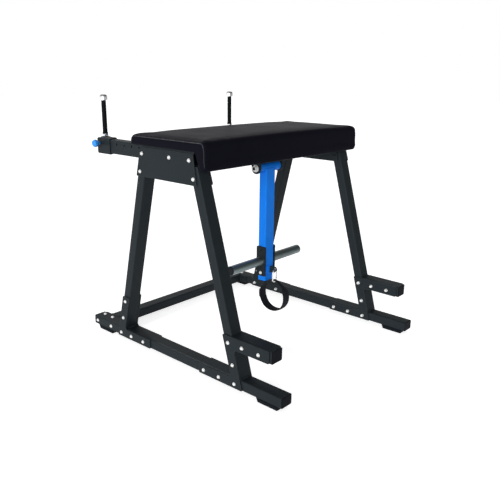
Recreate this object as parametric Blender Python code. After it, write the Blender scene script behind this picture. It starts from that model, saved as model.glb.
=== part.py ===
"""Reverse hyperextension machine: two bolted steel side frames carry a wide pad,
a blue pendulum that swings under the pad on a cross pivot, two weight sleeves,
an ankle strap on a snap hook, and two handles that slide on the forward arms.

X runs across the machine, +Y points to the handle end, Z is up, metres.
The origin is on the floor under the middle of the footprint.
"""
import math

import bmesh
import bpy
from mathutils import Matrix, Vector

# Driving dimensions, metres
LENGTH = 1.355          # over the base end caps
WIDTH = 1.162           # over the outer faces of the side frames
GAP = 0.0003            # fit between pieces that touch
TUBE_W = 0.070          # frame tube, wide side
TUBE_H = 0.050          # frame tube, narrow side
TUBE_WALL = 0.003
TUBE_R = 0.006          # outer corner radius of the tubes
PLATE = 0.006           # joining plates
BOLT_HOLE = 0.011

FOOT_H = 0.022          # rubber feet
FOOT_LONG = 0.126
FOOT_REAR_AT = 0.084    # middle of the rear foot from the rear end
FOOT_FRONT_BACK = 0.097 # middle of the front foot, back from the front end

REAR_LEG_AT = 0.237     # rear edge of the rear leg at the base, from the rear end
REAR_LEG_RUN = 0.2824   # lean of the rear leg, run over rise
FRONT_LEG_BACK = 0.288  # rear edge of the front leg at the base, back from the front end
FRONT_LEG_RUN = -0.2436
ARM_Z = 1.001           # underside of the top tubes
ARM_W = 0.060
ARM_H = 0.068
ARM_REAR_AT = 0.519
ARM_FRONT_AT = 1.220
HOLE_PITCH = 0.058      # handle adjusting holes
HOLE_DIA = 0.012
HOLE_Z = 1.050
PIN_AT = 1.183          # locking pin, from the rear end

STEP_Z = 0.210          # underside of the rear step tubes
STEP_H = 0.060
STEP_END_AT = 0.061

CROSS_BACK = 0.125      # rear face of the front cross tube, back from the front end
FRONT_PLATE_TOP = 0.259
FRONT_PLATE_TAIL = 0.203  # reach of the front joining plate behind the leg's foot
GUSSET_TOP = 1.056
GUSSET_LOW = 0.917
GUSSET_BACK = 0.023     # set-back of the left hand gusset of each frame from the leg's rear edge

PAD_HALF = 0.595
PAD_NEAR_AT = 0.441
PAD_FAR_AT = 0.940
PAD_TOP = 1.115
PAD_CROWN = 0.006
PAD_END_R = 0.018       # rounding of the pad's two ends
PAD_LIP_Z = 0.988
BOARD_T = 0.015

PIVOT_AT = 0.588        # pendulum pivot from the rear end
PIVOT_Z = 0.932
PIVOT_TUBE_R = 0.024
PIVOT_TUBE_BORE = 0.0195
PIVOT_TUBE_HALF = 0.080
LUG_T = 0.008
LUG_R = 0.029
SHAFT_R = 0.010
PEND_LOW = 0.324        # lower end of the pendulum
PEND_WALL = 0.004
SLEEVE_Z = 0.434        # weight sleeve axis
SLEEVE_R = 0.024
SLEEVE_END = 0.280      # sleeve tip from the middle of the machine

EYE_AT = 0.524          # strap eye from the rear end
EYE_Z = 0.3907
HOOK_WIRE = 0.004       # snap hook wire radius
HOOK_TALL = 0.073
HOOK_WIDE = 0.040
STRAP_W = 0.050
STRAP_T = 0.004
STRAP_LOW = 0.164       # lowest point of the strap loop, mid thickness

HANDLE_X = 0.4735       # handle post from the middle of the machine
HANDLE_AT = 1.308
HANDLE_R = 0.011
GRIP_R = 0.0125
GRIP_TOP = 1.249
COLLAR_H = 0.0155
ARM_PLATE_TOP = 1.0645  # flat plate that reaches from the carriage to the handle post
ARM_PLATE_T = 0.009
CARRIAGE_LONG = 0.100
CARRIAGE_REAR_AT = 1.118
CARRIAGE_CUT = 0.034    # how much shorter the carriage is along its inner wall
CARRIAGE_WALL = 0.005

REAR = -LENGTH / 2
HALF = WIDTH / 2
BASE_TOP = FOOT_H + TUBE_H
EPS = 0.0004


def at(distance):
    """Y of a place given by its distance from the rear end of the base."""
    return REAR + distance


def material(name, rgb, metal, rough):
    mat = bpy.data.materials.new(name)
    mat.use_nodes = True
    node = mat.node_tree.nodes.get("Principled BSDF")
    node.inputs["Base Color"].default_value = (rgb[0], rgb[1], rgb[2], 1.0)
    node.inputs["Metallic"].default_value = metal
    node.inputs["Roughness"].default_value = rough
    return mat


for old in list(bpy.data.objects):
    bpy.data.objects.remove(old, do_unlink=True)

FRAME = ("frame_coat", (0.028, 0.031, 0.034), 0.0, 0.45)
BLUE = ("blue_coat", (0.02, 0.19, 0.85), 0.0, 0.35)
VINYL = ("vinyl", (0.012, 0.011, 0.014), 0.0, 0.5)
PLASTIC = ("black_plastic", (0.008, 0.008, 0.009), 0.0, 0.45)
RUBBER = ("rubber", (0.01, 0.01, 0.011), 0.0, 0.7)
CHROME = ("chrome", (0.75, 0.76, 0.78), 1.0, 0.12)
STEEL = ("steel", (0.42, 0.43, 0.44), 1.0, 0.3)
DARKSTEEL = ("dark_steel", (0.10, 0.11, 0.12), 1.0, 0.3)
WOOD = ("plywood", (0.35, 0.24, 0.13), 0.0, 0.7)
WEB = ("webbing", (0.012, 0.012, 0.014), 0.0, 0.8)


def finish(name, bm, paint, smooth=False):
    """Turn a bmesh into a named object with a material of its own."""
    bmesh.ops.recalc_face_normals(bm, faces=bm.faces[:])
    mesh = bpy.data.meshes.new(name)
    bm.to_mesh(mesh)
    bm.free()
    mesh.materials.append(material(name + "_" + paint[0], paint[1], paint[2], paint[3]))
    obj = bpy.data.objects.new(name, mesh)
    bpy.context.scene.collection.objects.link(obj)
    if smooth:
        mesh.shade_smooth()
        mesh.set_sharp_from_angle(angle=math.radians(32))
    return obj


def loft(name, loops, paint, closed=False, smooth=False):
    """Skin a list of equal point loops; closed joins the last loop to the first."""
    bm = bmesh.new()
    rings = [[bm.verts.new(p) for p in loop] for loop in loops]
    count = len(rings[0])
    pairs = list(zip(rings[:-1], rings[1:]))
    if closed:
        pairs.append((rings[-1], rings[0]))
    for one, two in pairs:
        for i in range(count):
            j = (i + 1) % count
            bm.faces.new((one[i], one[j], two[j], two[i]))
    if not closed:
        bm.faces.new(rings[0])
        bm.faces.new(list(reversed(rings[-1])))
    return finish(name, bm, paint, smooth)


def rounded_rect(w, h, r, segs=3):
    """Points of a rounded rectangle about 0, 0."""
    points = []
    for k, (sx, sy) in enumerate(((1, 1), (-1, 1), (-1, -1), (1, -1))):
        for i in range(segs + 1):
            a = math.radians(90 * k + 90 * i / segs)
            x = sx * (w / 2 - r) + r * math.cos(a)
            y = sy * (h / 2 - r) + r * math.sin(a)
            points.append((x, y))
    return points


def fuse(obj, other, operation):
    """Apply an exact boolean and remove the second object."""
    mod = obj.modifiers.new("cut", "BOOLEAN")
    mod.operation = operation
    mod.solver = "EXACT"
    mod.object = other
    other.display_type = "WIRE"
    other.hide_render = True
    bpy.context.view_layer.update()
    graph = bpy.context.evaluated_depsgraph_get()
    mesh = bpy.data.meshes.new_from_object(obj.evaluated_get(graph))
    obj.modifiers.clear()
    mesh.name = obj.name
    if not mesh.materials:
        mesh.materials.append(obj.data.materials[0])
    old = obj.data
    obj.data = mesh
    bpy.data.meshes.remove(old)
    bpy.data.objects.remove(other, do_unlink=True)
    while len(mesh.materials) > 1:
        mesh.materials.pop()
    for poly in mesh.polygons:
        poly.material_index = 0
    return obj


def frame_of(axis):
    """Unit vectors along and across an axis named X, Y or Z."""
    if axis == "X":
        return Vector((1, 0, 0)), Vector((0, 1, 0)), Vector((0, 0, 1))
    if axis == "Y":
        return Vector((0, 1, 0)), Vector((0, 0, 1)), Vector((1, 0, 0))
    return Vector((0, 0, 1)), Vector((1, 0, 0)), Vector((0, 1, 0))


def lathe(name, profile, axis, origin, paint, n=32, closed=False, smooth=True):
    """Turn (radius, distance) points about an axis through origin."""
    along, u, v = frame_of(axis)
    base = Vector(origin)
    loops = []
    for r, t in profile:
        ring = []
        for i in range(n):
            a = 2 * math.pi * i / n
            ring.append(base + along * t + u * (r * math.cos(a)) + v * (r * math.sin(a)))
        loops.append(ring)
    return loft(name, loops, paint, closed, smooth)


def box(name, lo, hi, paint):
    x0, y0, z0 = lo
    x1, y1, z1 = hi
    loop = ((x0, y0), (x1, y0), (x1, y1), (x0, y1))
    return loft(name, [[(x, y, z0) for x, y in loop], [(x, y, z1) for x, y in loop]], paint)


def drill(obj, axis, origin, radius, length, n=20):
    """Cut a round hole right through obj, centred on origin."""
    tool = lathe("tool", [(radius, -length / 2), (radius, length / 2)], axis, origin, PLASTIC, n)
    return fuse(obj, tool, "DIFFERENCE")


def bar_y(name, x, z, w, h, y0, y1, paint=FRAME, lean0=0.0):
    """Open tube along Y; lean0 slants its first end by that much run per rise."""
    outer = rounded_rect(w, h, TUBE_R)
    inner = rounded_rect(w - 2 * TUBE_WALL, h - 2 * TUBE_WALL, TUBE_R - TUBE_WALL)
    loops = []
    for shape, y, lean in ((outer, y0, 0), (outer, y1, lean0), (inner, y1, lean0), (inner, y0, 0)):
        loops.append([(x + a, y + lean * b, z + b) for a, b in shape])
    return loft(name, loops, paint, True, True)


def leg(name, x, foot, run, z0, z1):
    """Leaning tube with level cuts at both ends; foot is its rear edge at the base top."""
    stretch = math.sqrt(1 + run * run)
    deep = TUBE_H * stretch
    mid = foot + deep / 2
    outer = rounded_rect(TUBE_W, deep, TUBE_R)
    inner = rounded_rect(TUBE_W - 2 * TUBE_WALL, deep - 2 * TUBE_WALL * stretch, TUBE_R - TUBE_WALL)
    loops = []
    for shape, z in ((outer, z0), (outer, z1), (inner, z1), (inner, z0)):
        loops.append([(x + a, mid + b + run * (z - BASE_TOP), z) for a, b in shape])
    return loft(name, loops, FRAME, True, True)


def leg_edge(foot, run, z, side):
    """Y of a leg's rear (side 0) or front (side 1) edge at height z."""
    return foot + side * TUBE_H * math.sqrt(1 + run * run) + run * (z - BASE_TOP)


def round_corners(points, radius, segs=3):
    """Fillet every corner of a polygon given as (y, z) or (y, z, own radius)."""
    out = []
    count = len(points)
    for i, item in enumerate(points):
        here = Vector(item[:2])
        r = item[2] if len(item) > 2 else radius
        back = (Vector(points[i - 1][:2]) - here).normalized()
        ahead = (Vector(points[(i + 1) % count][:2]) - here).normalized()
        half = back.angle(ahead) / 2
        if r <= 0.0 or half > 1.55:
            out.append((here.x, here.y))
            continue
        cut = r / math.tan(half)
        centre = here + (back + ahead).normalized() * (r / math.sin(half))
        one = here + back * cut - centre
        two = here + ahead * cut - centre
        start = math.atan2(one.y, one.x)
        turn = math.atan2(two.y, two.x) - start
        turn = (turn + math.pi) % (2 * math.pi) - math.pi
        for k in range(segs + 1):
            a = start + turn * k / segs
            out.append((centre.x + r * math.cos(a), centre.y + r * math.sin(a)))
    return out


def plate_x(name, outline, holes, x0, x1, radius=0.004, paint=FRAME):
    """Flat plate standing in the YZ plane between x0 and x1, with bolt holes."""
    shape = round_corners(outline, radius)
    obj = loft(name, [[(x0, y, z) for y, z in shape], [(x1, y, z) for y, z in shape]], paint)
    for y, z in holes:
        drill(obj, "X", ((x0 + x1) / 2, y, z), BOLT_HOLE / 2, 0.05, 10)
    return obj


def plug(name, x, z, w, h, y, inward):
    """Plastic end cap of a tube along Y: a domed plate outside it and a plug inside it."""
    inner_w = w - 2 * TUBE_WALL - 2 * EPS
    inner_h = h - 2 * TUBE_WALL - 2 * EPS
    steps = (
        (w - 0.006, h - 0.006, 0.004, 0.0),
        (w, h, TUBE_R, 0.0012),
        (w, h, TUBE_R, 0.003 - GAP),
        (inner_w, inner_h, 0.003, 0.003 - GAP),
        (inner_w, inner_h, 0.003, 0.018),
    )
    loops = []
    for sw, sh, r, t in steps:
        loops.append([(x + a, y + inward * t, z + b) for a, b in rounded_rect(sw, sh, r)])
    return loft(name, loops, PLASTIC, False, True)


def rubber_foot(name, x, y):
    """Wedge-sided block under the base, longer at the top than at the floor."""
    top = FOOT_H - GAP
    loops = []
    for z, dx, dy, r in ((0.0, 0.006, 0.008, 0.004), (0.003, 0.003, 0.0065, 0.005), (top, 0.0, 0.0, 0.006)):
        shape = rounded_rect(TUBE_W - 2 * dx, FOOT_LONG - 2 * dy, r)
        loops.append([(x + a, y + b, z) for a, b in shape])
    return loft(name, loops, RUBBER, False, True)


def empty(name, place, parent=None):
    obj = bpy.data.objects.new(name, None)
    bpy.context.scene.collection.objects.link(obj)
    obj.empty_display_size = 0.05
    if parent:
        obj.parent = parent
        obj.location = Vector(place) - parent.matrix_world.translation
    else:
        obj.location = Vector(place)
    bpy.context.view_layer.update()
    return obj


def adopt(parent, children):
    """Move each child's origin onto the parent empty and parent it there."""
    place = parent.matrix_world.translation.copy()
    for obj in children:
        obj.data.transform(Matrix.Translation(-place))
        obj.parent = parent
        obj.location = (0, 0, 0)


machine = empty("machine", (0, 0, 0))
fixed = []

# Side frames: base tube, two leaning legs, top tube with the forward arm, step tube
SIDES = (("left", -1), ("right", 1))
y_front = at(LENGTH) - 0.003
y_rear = REAR + 0.003
leg_x = HALF - TUBE_W / 2
arm_x = HALF - ARM_W / 2
arm_mid = ARM_Z + ARM_H / 2
step_mid = STEP_Z + STEP_H / 2
base_mid = FOOT_H + TUBE_H / 2
rear_foot = at(REAR_LEG_AT)
front_foot = at(LENGTH - FRONT_LEG_BACK)

for side, s in SIDES:
    x = s * leg_x
    fixed.append(bar_y("base_tube_" + side, x, base_mid, TUBE_W, TUBE_H, y_rear, y_front))
    z0 = BASE_TOP + GAP
    z1 = ARM_Z - GAP
    fixed.append(leg("rear_leg_" + side, x, rear_foot, REAR_LEG_RUN, z0, z1))
    fixed.append(leg("front_leg_" + side, x, front_foot, FRONT_LEG_RUN, z0, z1))

    arm = bar_y("top_tube_" + side, s * arm_x, arm_mid, ARM_W, ARM_H, at(ARM_REAR_AT), at(ARM_FRONT_AT) - 0.003)
    for k in range(6):
        drill(arm, "X", (s * arm_x, at(PIN_AT - k * HOLE_PITCH), HOLE_Z), HOLE_DIA / 2, 0.1, 12)
    fixed.append(arm)

    lean = REAR_LEG_RUN
    stop = leg_edge(rear_foot, lean, step_mid, 0) - EPS
    fixed.append(bar_y("step_tube_" + side, x, step_mid, TUBE_W, STEP_H, at(STEP_END_AT), stop, FRAME, lean))

    # End caps and feet
    fixed.append(plug("base_cap_rear_" + side, x, base_mid, TUBE_W, TUBE_H, REAR, 1))
    fixed.append(plug("base_cap_front_" + side, x, base_mid, TUBE_W, TUBE_H, at(LENGTH), -1))
    fixed.append(plug("step_cap_" + side, x, step_mid, TUBE_W, STEP_H, at(STEP_END_AT) - 0.003, 1))
    fixed.append(plug("arm_cap_" + side, s * arm_x, arm_mid, ARM_W, ARM_H, at(ARM_FRONT_AT), -1))
    fixed.append(rubber_foot("foot_rear_" + side, x, at(FOOT_REAR_AT)))
    fixed.append(rubber_foot("foot_front_" + side, x, at(LENGTH - FOOT_FRONT_BACK)))

    # Joining plates, one on each face of the tubes
    def r_edge(z, k):
        return leg_edge(rear_foot, REAR_LEG_RUN, z, k)

    def f_edge(z, k):
        return leg_edge(front_foot, FRONT_LEG_RUN, z, k)

    def gusset(back):
        return (
            (f_edge(GUSSET_TOP, 1), GUSSET_TOP),
            (r_edge(GUSSET_TOP, 0) + 0.004, GUSSET_TOP),
            (r_edge(GUSSET_LOW, 0) + back, GUSSET_LOW),
            (f_edge(GUSSET_LOW, 1), GUSSET_LOW),
        )

    bolt_z = GUSSET_TOP - 0.030
    front_bolt_z = GUSSET_LOW + 0.023
    rear_bolt_z = GUSSET_LOW + 0.029
    gusset_holes = (
        (f_edge(bolt_z, 0.60), bolt_z),
        (at(0.673), bolt_z),
        (r_edge(bolt_z, 0.70), bolt_z),
        (f_edge(front_bolt_z, 0.55), front_bolt_z),
        (r_edge(rear_bolt_z, 0.65), rear_bolt_z),
    )
    low = FOOT_H + 0.001
    front_plate = (
        (f_edge(FRONT_PLATE_TOP, 1), FRONT_PLATE_TOP),
        (f_edge(FRONT_PLATE_TOP, 0), FRONT_PLATE_TOP),
        (f_edge(BASE_TOP - 0.002, 0), BASE_TOP - 0.002, 0.014),
        (front_foot - FRONT_PLATE_TAIL, BASE_TOP - 0.002),
        (front_foot - FRONT_PLATE_TAIL, low),
        (f_edge(low, 1), low),
    )
    front_holes = (
        (f_edge(FRONT_PLATE_TOP - 0.026, 0.5), FRONT_PLATE_TOP - 0.026),
        (f_edge(0.135, 0.5), 0.135),
        (f_edge(0.045, 0.55), 0.045),
        (front_foot - 0.0495, 0.045),
        (front_foot - 0.1484, 0.045),
    )
    step_top = STEP_Z + STEP_H - 0.001
    rear_plate = (
        (r_edge(step_top, 1), step_top),
        (at(0.072), step_top),
        (at(0.072), STEP_Z + 0.001),
        (r_edge(STEP_Z, 0), STEP_Z + 0.001, 0.012),
        (r_edge(low, 0), low),
        (at(0.499), low),
        (at(0.499), BASE_TOP - 0.002),
        (r_edge(BASE_TOP - 0.002, 1), BASE_TOP - 0.002, 0.014),
    )
    rear_holes = (
        (r_edge(0.236, 0.5), 0.236),
        (at(0.225), 0.236),
        (at(0.129), 0.236),
        (r_edge(0.135, 0.5), 0.135),
        (at(0.467), 0.045),
        (at(0.368), 0.045),
        (at(0.270), 0.045),
    )
    outer_face = HALF + GAP
    inner_face = HALF - TUBE_W - GAP
    places = (
        ("outer", outer_face, outer_face + PLATE, -1),
        ("inner", inner_face - PLATE, inner_face, 1),
    )
    for place, xa, xb, hand in places:
        tail = place + "_" + side
        back = GUSSET_BACK if hand * s > 0 else 0.0
        fixed.append(plate_x("gusset_" + tail, gusset(back), gusset_holes, s * xa, s * xb))
        fixed.append(plate_x("front_plate_" + tail, front_plate, front_holes, s * xa, s * xb))
        fixed.append(plate_x("rear_plate_" + tail, rear_plate, rear_holes, s * xa, s * xb))

# Front cross tube with a bolting flange at each end
reach = HALF - TUBE_W - GAP
cross_y = at(LENGTH - CROSS_BACK) + TUBE_W / 2
cross_outer = rounded_rect(TUBE_W, TUBE_H, TUBE_R)
cross_inner = rounded_rect(TUBE_W - 2 * TUBE_WALL, TUBE_H - 2 * TUBE_WALL, TUBE_R - TUBE_WALL)
end = reach - PLATE / 2
cross_loops = []
for shape, x in ((cross_outer, -end), (cross_outer, end), (cross_inner, end), (cross_inner, -end)):
    cross_loops.append([(x, cross_y + a, base_mid + b) for a, b in shape])
cross = loft("cross_tube", cross_loops, FRAME, True, True)
for side, s in SIDES:
    lo = cross_y - 0.0815
    hi = cross_y + 0.0815
    z_lo = FOOT_H + 0.0015
    z_hi = BASE_TOP - 0.0015
    outline = ((lo, z_lo), (hi, z_lo), (hi, z_hi), (lo, z_hi))
    holes = ((cross_y - 0.0615, base_mid), (cross_y + 0.0615, base_mid))
    flange = plate_x("flange", outline, holes, s * (reach - PLATE), s * reach)
    drill(flange, "X", (s * reach, cross_y, base_mid), 0.015, 0.05, 16)
    fuse(cross, flange, "UNION")
fixed.append(cross)

# Cross beam under the pad with two hanging pivot lugs
beam_reach = HALF - TUBE_W - PLATE - 2 * GAP
beam_y = at(PIVOT_AT)
beam_top = ARM_Z + ARM_H
beam_mid = beam_top - TUBE_H / 2
beam_end = beam_reach - PLATE / 2
beam_loops = []
for shape, x in ((cross_outer, -beam_end), (cross_outer, beam_end), (cross_inner, beam_end), (cross_inner, -beam_end)):
    beam_loops.append([(x, beam_y + a, beam_mid + b) for a, b in shape])
beam = loft("pad_beam", beam_loops, FRAME, True, True)
for side, s in SIDES:
    outline = (
        (beam_y - 0.060, beam_top - 0.085),
        (beam_y + 0.060, beam_top - 0.085),
        (beam_y + 0.060, beam_top - 0.001),
        (beam_y - 0.060, beam_top - 0.001),
    )
    holes = ((beam_y - 0.048, beam_top - 0.072), (beam_y + 0.048, beam_top - 0.072))
    flange = plate_x("flange", outline, holes, s * (beam_reach - PLATE), s * beam_reach)
    drill(flange, "X", (s * beam_reach, beam_y, beam_mid), 0.015, 0.05, 16)
    fuse(beam, flange, "UNION")
    lug_shape = []
    for i in range(13):
        a = math.radians(180 + 180 * i / 12)
        lug_shape.append((beam_y + LUG_R * math.cos(a), PIVOT_Z + LUG_R * math.sin(a)))
    lug_shape.append((beam_y + LUG_R, beam_mid - TUBE_H / 2 + 0.0015))
    lug_shape.append((beam_y - LUG_R, beam_mid - TUBE_H / 2 + 0.0015))
    xa = s * (PIVOT_TUBE_HALF + 0.0022)
    xb = s * (PIVOT_TUBE_HALF + 0.0022 + LUG_T)
    lug = loft("lug", [[(xa, y, z) for y, z in lug_shape], [(xb, y, z) for y, z in lug_shape]], FRAME)
    drill(lug, "X", ((xa + xb) / 2, beam_y, PIVOT_Z), SHAFT_R + GAP, 0.05, 24)
    fuse(beam, lug, "UNION")
fixed.append(beam)

# Pad: foam and cover over a plywood board, with a lip rolled down at the near edge
NEAR = at(PAD_NEAR_AT)
FAR = at(PAD_FAR_AT)
PAD_Z = beam_top + GAP


def arc(cy, cz, r, a0, a1, segs):
    out = []
    for i in range(segs + 1):
        a = math.radians(a0 + (a1 - a0) * i / segs)
        out.append((cy + r * math.cos(a), cz + r * math.sin(a)))
    return out


def bezier(p0, p1, p2, segs):
    out = []
    for i in range(segs + 1):
        t = i / segs
        y = (1 - t) ** 2 * p0[0] + 2 * t * (1 - t) * p1[0] + t * t * p2[0]
        z = (1 - t) ** 2 * p0[1] + 2 * t * (1 - t) * p1[1] + t * t * p2[1]
        out.append((y, z))
    return out


def pad_profile(inset, crown):
    """Section of the pad in the YZ plane, drawn in by inset all round."""
    y0 = NEAR + inset
    y1 = FAR - inset
    top = PAD_TOP - inset + crown
    lip = PAD_LIP_Z + inset
    under = PAD_Z
    back = NEAR - inset * 0.5
    r = 0.013 * (1 - inset / 0.030)
    pts = arc(y0 + r, lip + r, r, 180, 262, 3)
    pts += bezier(((y0 + back + 0.046) / 2, lip), (back + 0.040, lip + 0.001), (back + 0.042, lip + 0.024), 3)
    pts += bezier((back + 0.053, under - 0.024), (back + 0.057, under), (back + 0.074, under), 4)
    pts.append((y1 - 0.012, under))
    pts += arc(y1 - 0.006, under + 0.006, 0.006, 270, 360, 2)
    pts += arc(y1 - 0.019, top - 0.019, 0.019, 0, 90, 5)
    span = (y1 - 0.019) - (y0 + 0.023)
    for i in range(1, 6):
        t = i / 6
        pts.append((y1 - 0.019 - span * t, top + crown * 0.25 * math.sin(math.pi * t)))
    pts += arc(y0 + 0.023, top - 0.023, 0.023, 90, 180, 5)
    pts.append((y0 - 0.0015 * (1 - inset / PAD_END_R), (top + lip) / 2))
    return pts


edge = PAD_HALF - PAD_END_R
stations = [(edge * k / 5, 0.0) for k in range(5)]
for k in range(7):
    a = math.radians(15 * k)
    stations.append((edge + PAD_END_R * math.sin(a), PAD_END_R * (1 - math.cos(a))))
stations = [(-x, d) for x, d in reversed(stations[1:])] + stations
pad_loops = []
for x, d in stations:
    crown = PAD_CROWN * (1 - (x / PAD_HALF) ** 2)
    pad_loops.append([(x, y, z) for y, z in pad_profile(d, crown)])
pad = loft("pad", pad_loops, VINYL, False, True)
board_lo = (-PAD_HALF + 0.024, NEAR + 0.090, PAD_Z)
board_hi = (PAD_HALF - 0.024, FAR - 0.020, PAD_Z + BOARD_T)
room = box(
    "tool",
    (board_lo[0] - EPS, board_lo[1] - EPS, board_lo[2] - 0.01),
    (board_hi[0] + EPS, board_hi[1] + EPS, board_hi[2] + EPS),
    PLASTIC,
)
fuse(pad, room, "DIFFERENCE")
pad.data.shade_smooth()
pad.data.set_sharp_from_angle(angle=math.radians(32))
fixed.append(pad)
fixed.append(box("pad_board", board_lo, board_hi, WOOD))

# Pivot shaft through both lugs, with a washer face on its head, and its nut
lug_out = PIVOT_TUBE_HALF + 0.0022 + LUG_T + GAP
pivot = (0, beam_y, PIVOT_Z)
shaft = (
    (0.006, -lug_out - 0.015),
    (0.0125, -lug_out - 0.015),
    (0.014, -lug_out - 0.0135),
    (0.014, -lug_out - 0.0035),
    (0.0185, -lug_out - 0.003),
    (0.0185, -lug_out),
    (SHAFT_R, -lug_out),
    (SHAFT_R, lug_out + 0.020),
    (SHAFT_R - 0.0015, lug_out + 0.0215),
)
bolt = lathe("pivot_bolt", shaft, "X", pivot, STEEL, 24)
socket = lathe("tool", [(0.0065, -lug_out - 0.016), (0.0065, -lug_out - 0.008)], "X", pivot, PLASTIC, 6)
fuse(bolt, socket, "DIFFERENCE")
fixed.append(bolt)
nut_profile = ((SHAFT_R + EPS, 0.0), (0.0185, 0.0), (0.0185, 0.003), (0.0150, 0.0035), (0.0150, 0.0165), (SHAFT_R + EPS, 0.0165))
nut_at = (lug_out, beam_y, PIVOT_Z)
fixed.append(lathe("pivot_nut", nut_profile, "X", nut_at, STEEL, 20, True, False))
adopt(machine, fixed)

# Pendulum: square arm welded under the pivot tube
pend = empty("pendulum", pivot, machine)
arm_outer = rounded_rect(TUBE_W, TUBE_H, TUBE_R)
arm_inner = rounded_rect(TUBE_W - 2 * PEND_WALL, TUBE_H - 2 * PEND_WALL, TUBE_R - PEND_WALL)
pend_top = PIVOT_Z - 0.006
pend_loops = []
for shape, z in ((arm_outer, PEND_LOW), (arm_outer, pend_top), (arm_inner, pend_top), (arm_inner, PEND_LOW)):
    pend_loops.append([(a, beam_y + b, z) for a, b in shape])
pend_arm = loft("pendulum_arm", pend_loops, BLUE, True, True)
tube = lathe(
    "tool",
    ((PIVOT_TUBE_R, -PIVOT_TUBE_HALF), (PIVOT_TUBE_R, PIVOT_TUBE_HALF)),
    "X", pivot, BLUE, 32,
)
fuse(pend_arm, tube, "UNION")
drill(pend_arm, "X", pivot, PIVOT_TUBE_BORE, 0.3, 32)
pend_arm.data.shade_smooth()
pend_arm.data.set_sharp_from_angle(angle=math.radians(32))
moving = [pend_arm]

# Plastic plug pressed into its lower end
plug_w = TUBE_W - 2 * PEND_WALL - 2 * EPS
plug_h = TUBE_H - 2 * PEND_WALL - 2 * EPS
plug_loops = []
for inset, rise in ((0.003, 0.0), (0.0, 0.0015), (0.0, 0.016), (0.001, 0.018)):
    shape = rounded_rect(plug_w - 2 * inset, plug_h - 2 * inset, 0.004)
    plug_loops.append([(a, beam_y + b, PEND_LOW + rise) for a, b in shape])
moving.append(loft("pendulum_cap", plug_loops, PLASTIC, False, True))

for side, s in SIDES:
    # Flanged bush between the shaft and the pivot tube
    face = PIVOT_TUBE_HALF + GAP
    bush = (
        (SHAFT_R + EPS, s * (face - 0.020)),
        (PIVOT_TUBE_BORE - EPS, s * (face - 0.020)),
        (PIVOT_TUBE_BORE - EPS, s * face),
        (PIVOT_TUBE_R - 0.001, s * face),
        (PIVOT_TUBE_R - 0.001, s * (face + 0.0015)),
        (SHAFT_R + EPS, s * (face + 0.0015)),
    )
    moving.append(lathe("bush_" + side, bush, "X", pivot, PLASTIC, 24, True))

    # Weight sleeve: round tube with a closed, chamfered tip on a flange plate
    x0 = TUBE_W / 2 + GAP
    x1 = x0 + PLATE
    sy = at(PIVOT_AT)
    outline = (
        (sy - 0.030, SLEEVE_Z - 0.083),
        (sy + 0.030, SLEEVE_Z - 0.083),
        (sy + 0.030, SLEEVE_Z + 0.079),
        (sy - 0.030, SLEEVE_Z + 0.079),
    )
    holes = ((sy, SLEEVE_Z - 0.066), (sy, SLEEVE_Z + 0.062))
    flange = plate_x("weight_sleeve_" + side, outline, holes, s * x0, s * x1, 0.006, DARKSTEEL)
    tube_profile = (
        (SLEEVE_R, s * (x0 + 0.002)),
        (SLEEVE_R, s * (SLEEVE_END - 0.004)),
        (SLEEVE_R - 0.004, s * SLEEVE_END),
    )
    tube = lathe("tool", tube_profile, "X", (0, sy, SLEEVE_Z), DARKSTEEL, 32)
    fuse(flange, tube, "UNION")
    bore = lathe(
        "tool",
        ((SLEEVE_R - 0.004, s * (x0 - 0.01)), (SLEEVE_R - 0.004, s * (SLEEVE_END - 0.010))),
        "X", (0, sy, SLEEVE_Z), PLASTIC, 24,
    )
    fuse(flange, bore, "DIFFERENCE")
    flange.data.shade_smooth()
    flange.data.set_sharp_from_angle(angle=math.radians(32))
    moving.append(flange)

# Strap eye on the rear face of the pendulum: a foot plate and an eye plate
eye_y = at(EYE_AT)
face_y = beam_y - TUBE_H / 2 - GAP
eye_foot = box("strap_eye", (-0.020, face_y - 0.005, EYE_Z - 0.030), (0.020, face_y, EYE_Z + 0.016), DARKSTEEL)
eye_shape = []
for i in range(13):
    a = math.radians(90 + 180 * i / 12)
    eye_shape.append((eye_y + 0.014 * math.cos(a), EYE_Z + 0.014 * math.sin(a)))
eye_shape.append((face_y - 0.003, EYE_Z - 0.026))
eye_shape.append((face_y - 0.003, EYE_Z + 0.014))
eye_plate = loft("tool", [[(-0.003, y, z) for y, z in eye_shape], [(0.003, y, z) for y, z in eye_shape]], FRAME)
drill(eye_plate, "X", (0, eye_y, EYE_Z), 0.0075, 0.05, 20)
fuse(eye_foot, eye_plate, "UNION")
moving.append(eye_foot)
adopt(pend, moving)

# Snap hook: a bent wire that is open on one side, closed there by a sprung gate
wire_top = EYE_Z - 0.0075 + HOOK_WIRE + 3 * EPS
wire_low = wire_top - (HOOK_TALL - 2 * HOOK_WIRE)
hook_pivot = (0, eye_y, wire_top)
hook_empty = empty("snap_hook_swing", hook_pivot, pend)
half_w = HOOK_WIDE / 2 - HOOK_WIRE
GATE_LOW = wire_low + 0.017
GATE_HIGH = wire_top - 0.019


def wire_path():
    """Centre line of the hook in the XZ plane, from the gate pivot round to the nose."""
    pts = [(half_w, GATE_LOW - 2 * EPS), (half_w, wire_low + half_w * 0.7)]
    for i in range(1, 8):
        a = math.radians(0 - 180 * i / 8)
        pts.append((half_w * math.cos(a), wire_low + half_w * 0.7 + half_w * 0.7 * math.sin(a)))
    pts.append((-half_w, wire_low + half_w * 0.7))
    pts.append((-half_w, (wire_low + wire_top) / 2))
    pts.append((-half_w, wire_top - half_w))
    for i in range(1, 8):
        a = math.radians(180 - 180 * i / 8)
        pts.append((half_w * math.cos(a), wire_top - half_w + half_w * math.sin(a)))
    pts.append((half_w, wire_top - half_w))
    pts.append((half_w, GATE_HIGH + EPS))
    return pts


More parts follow.
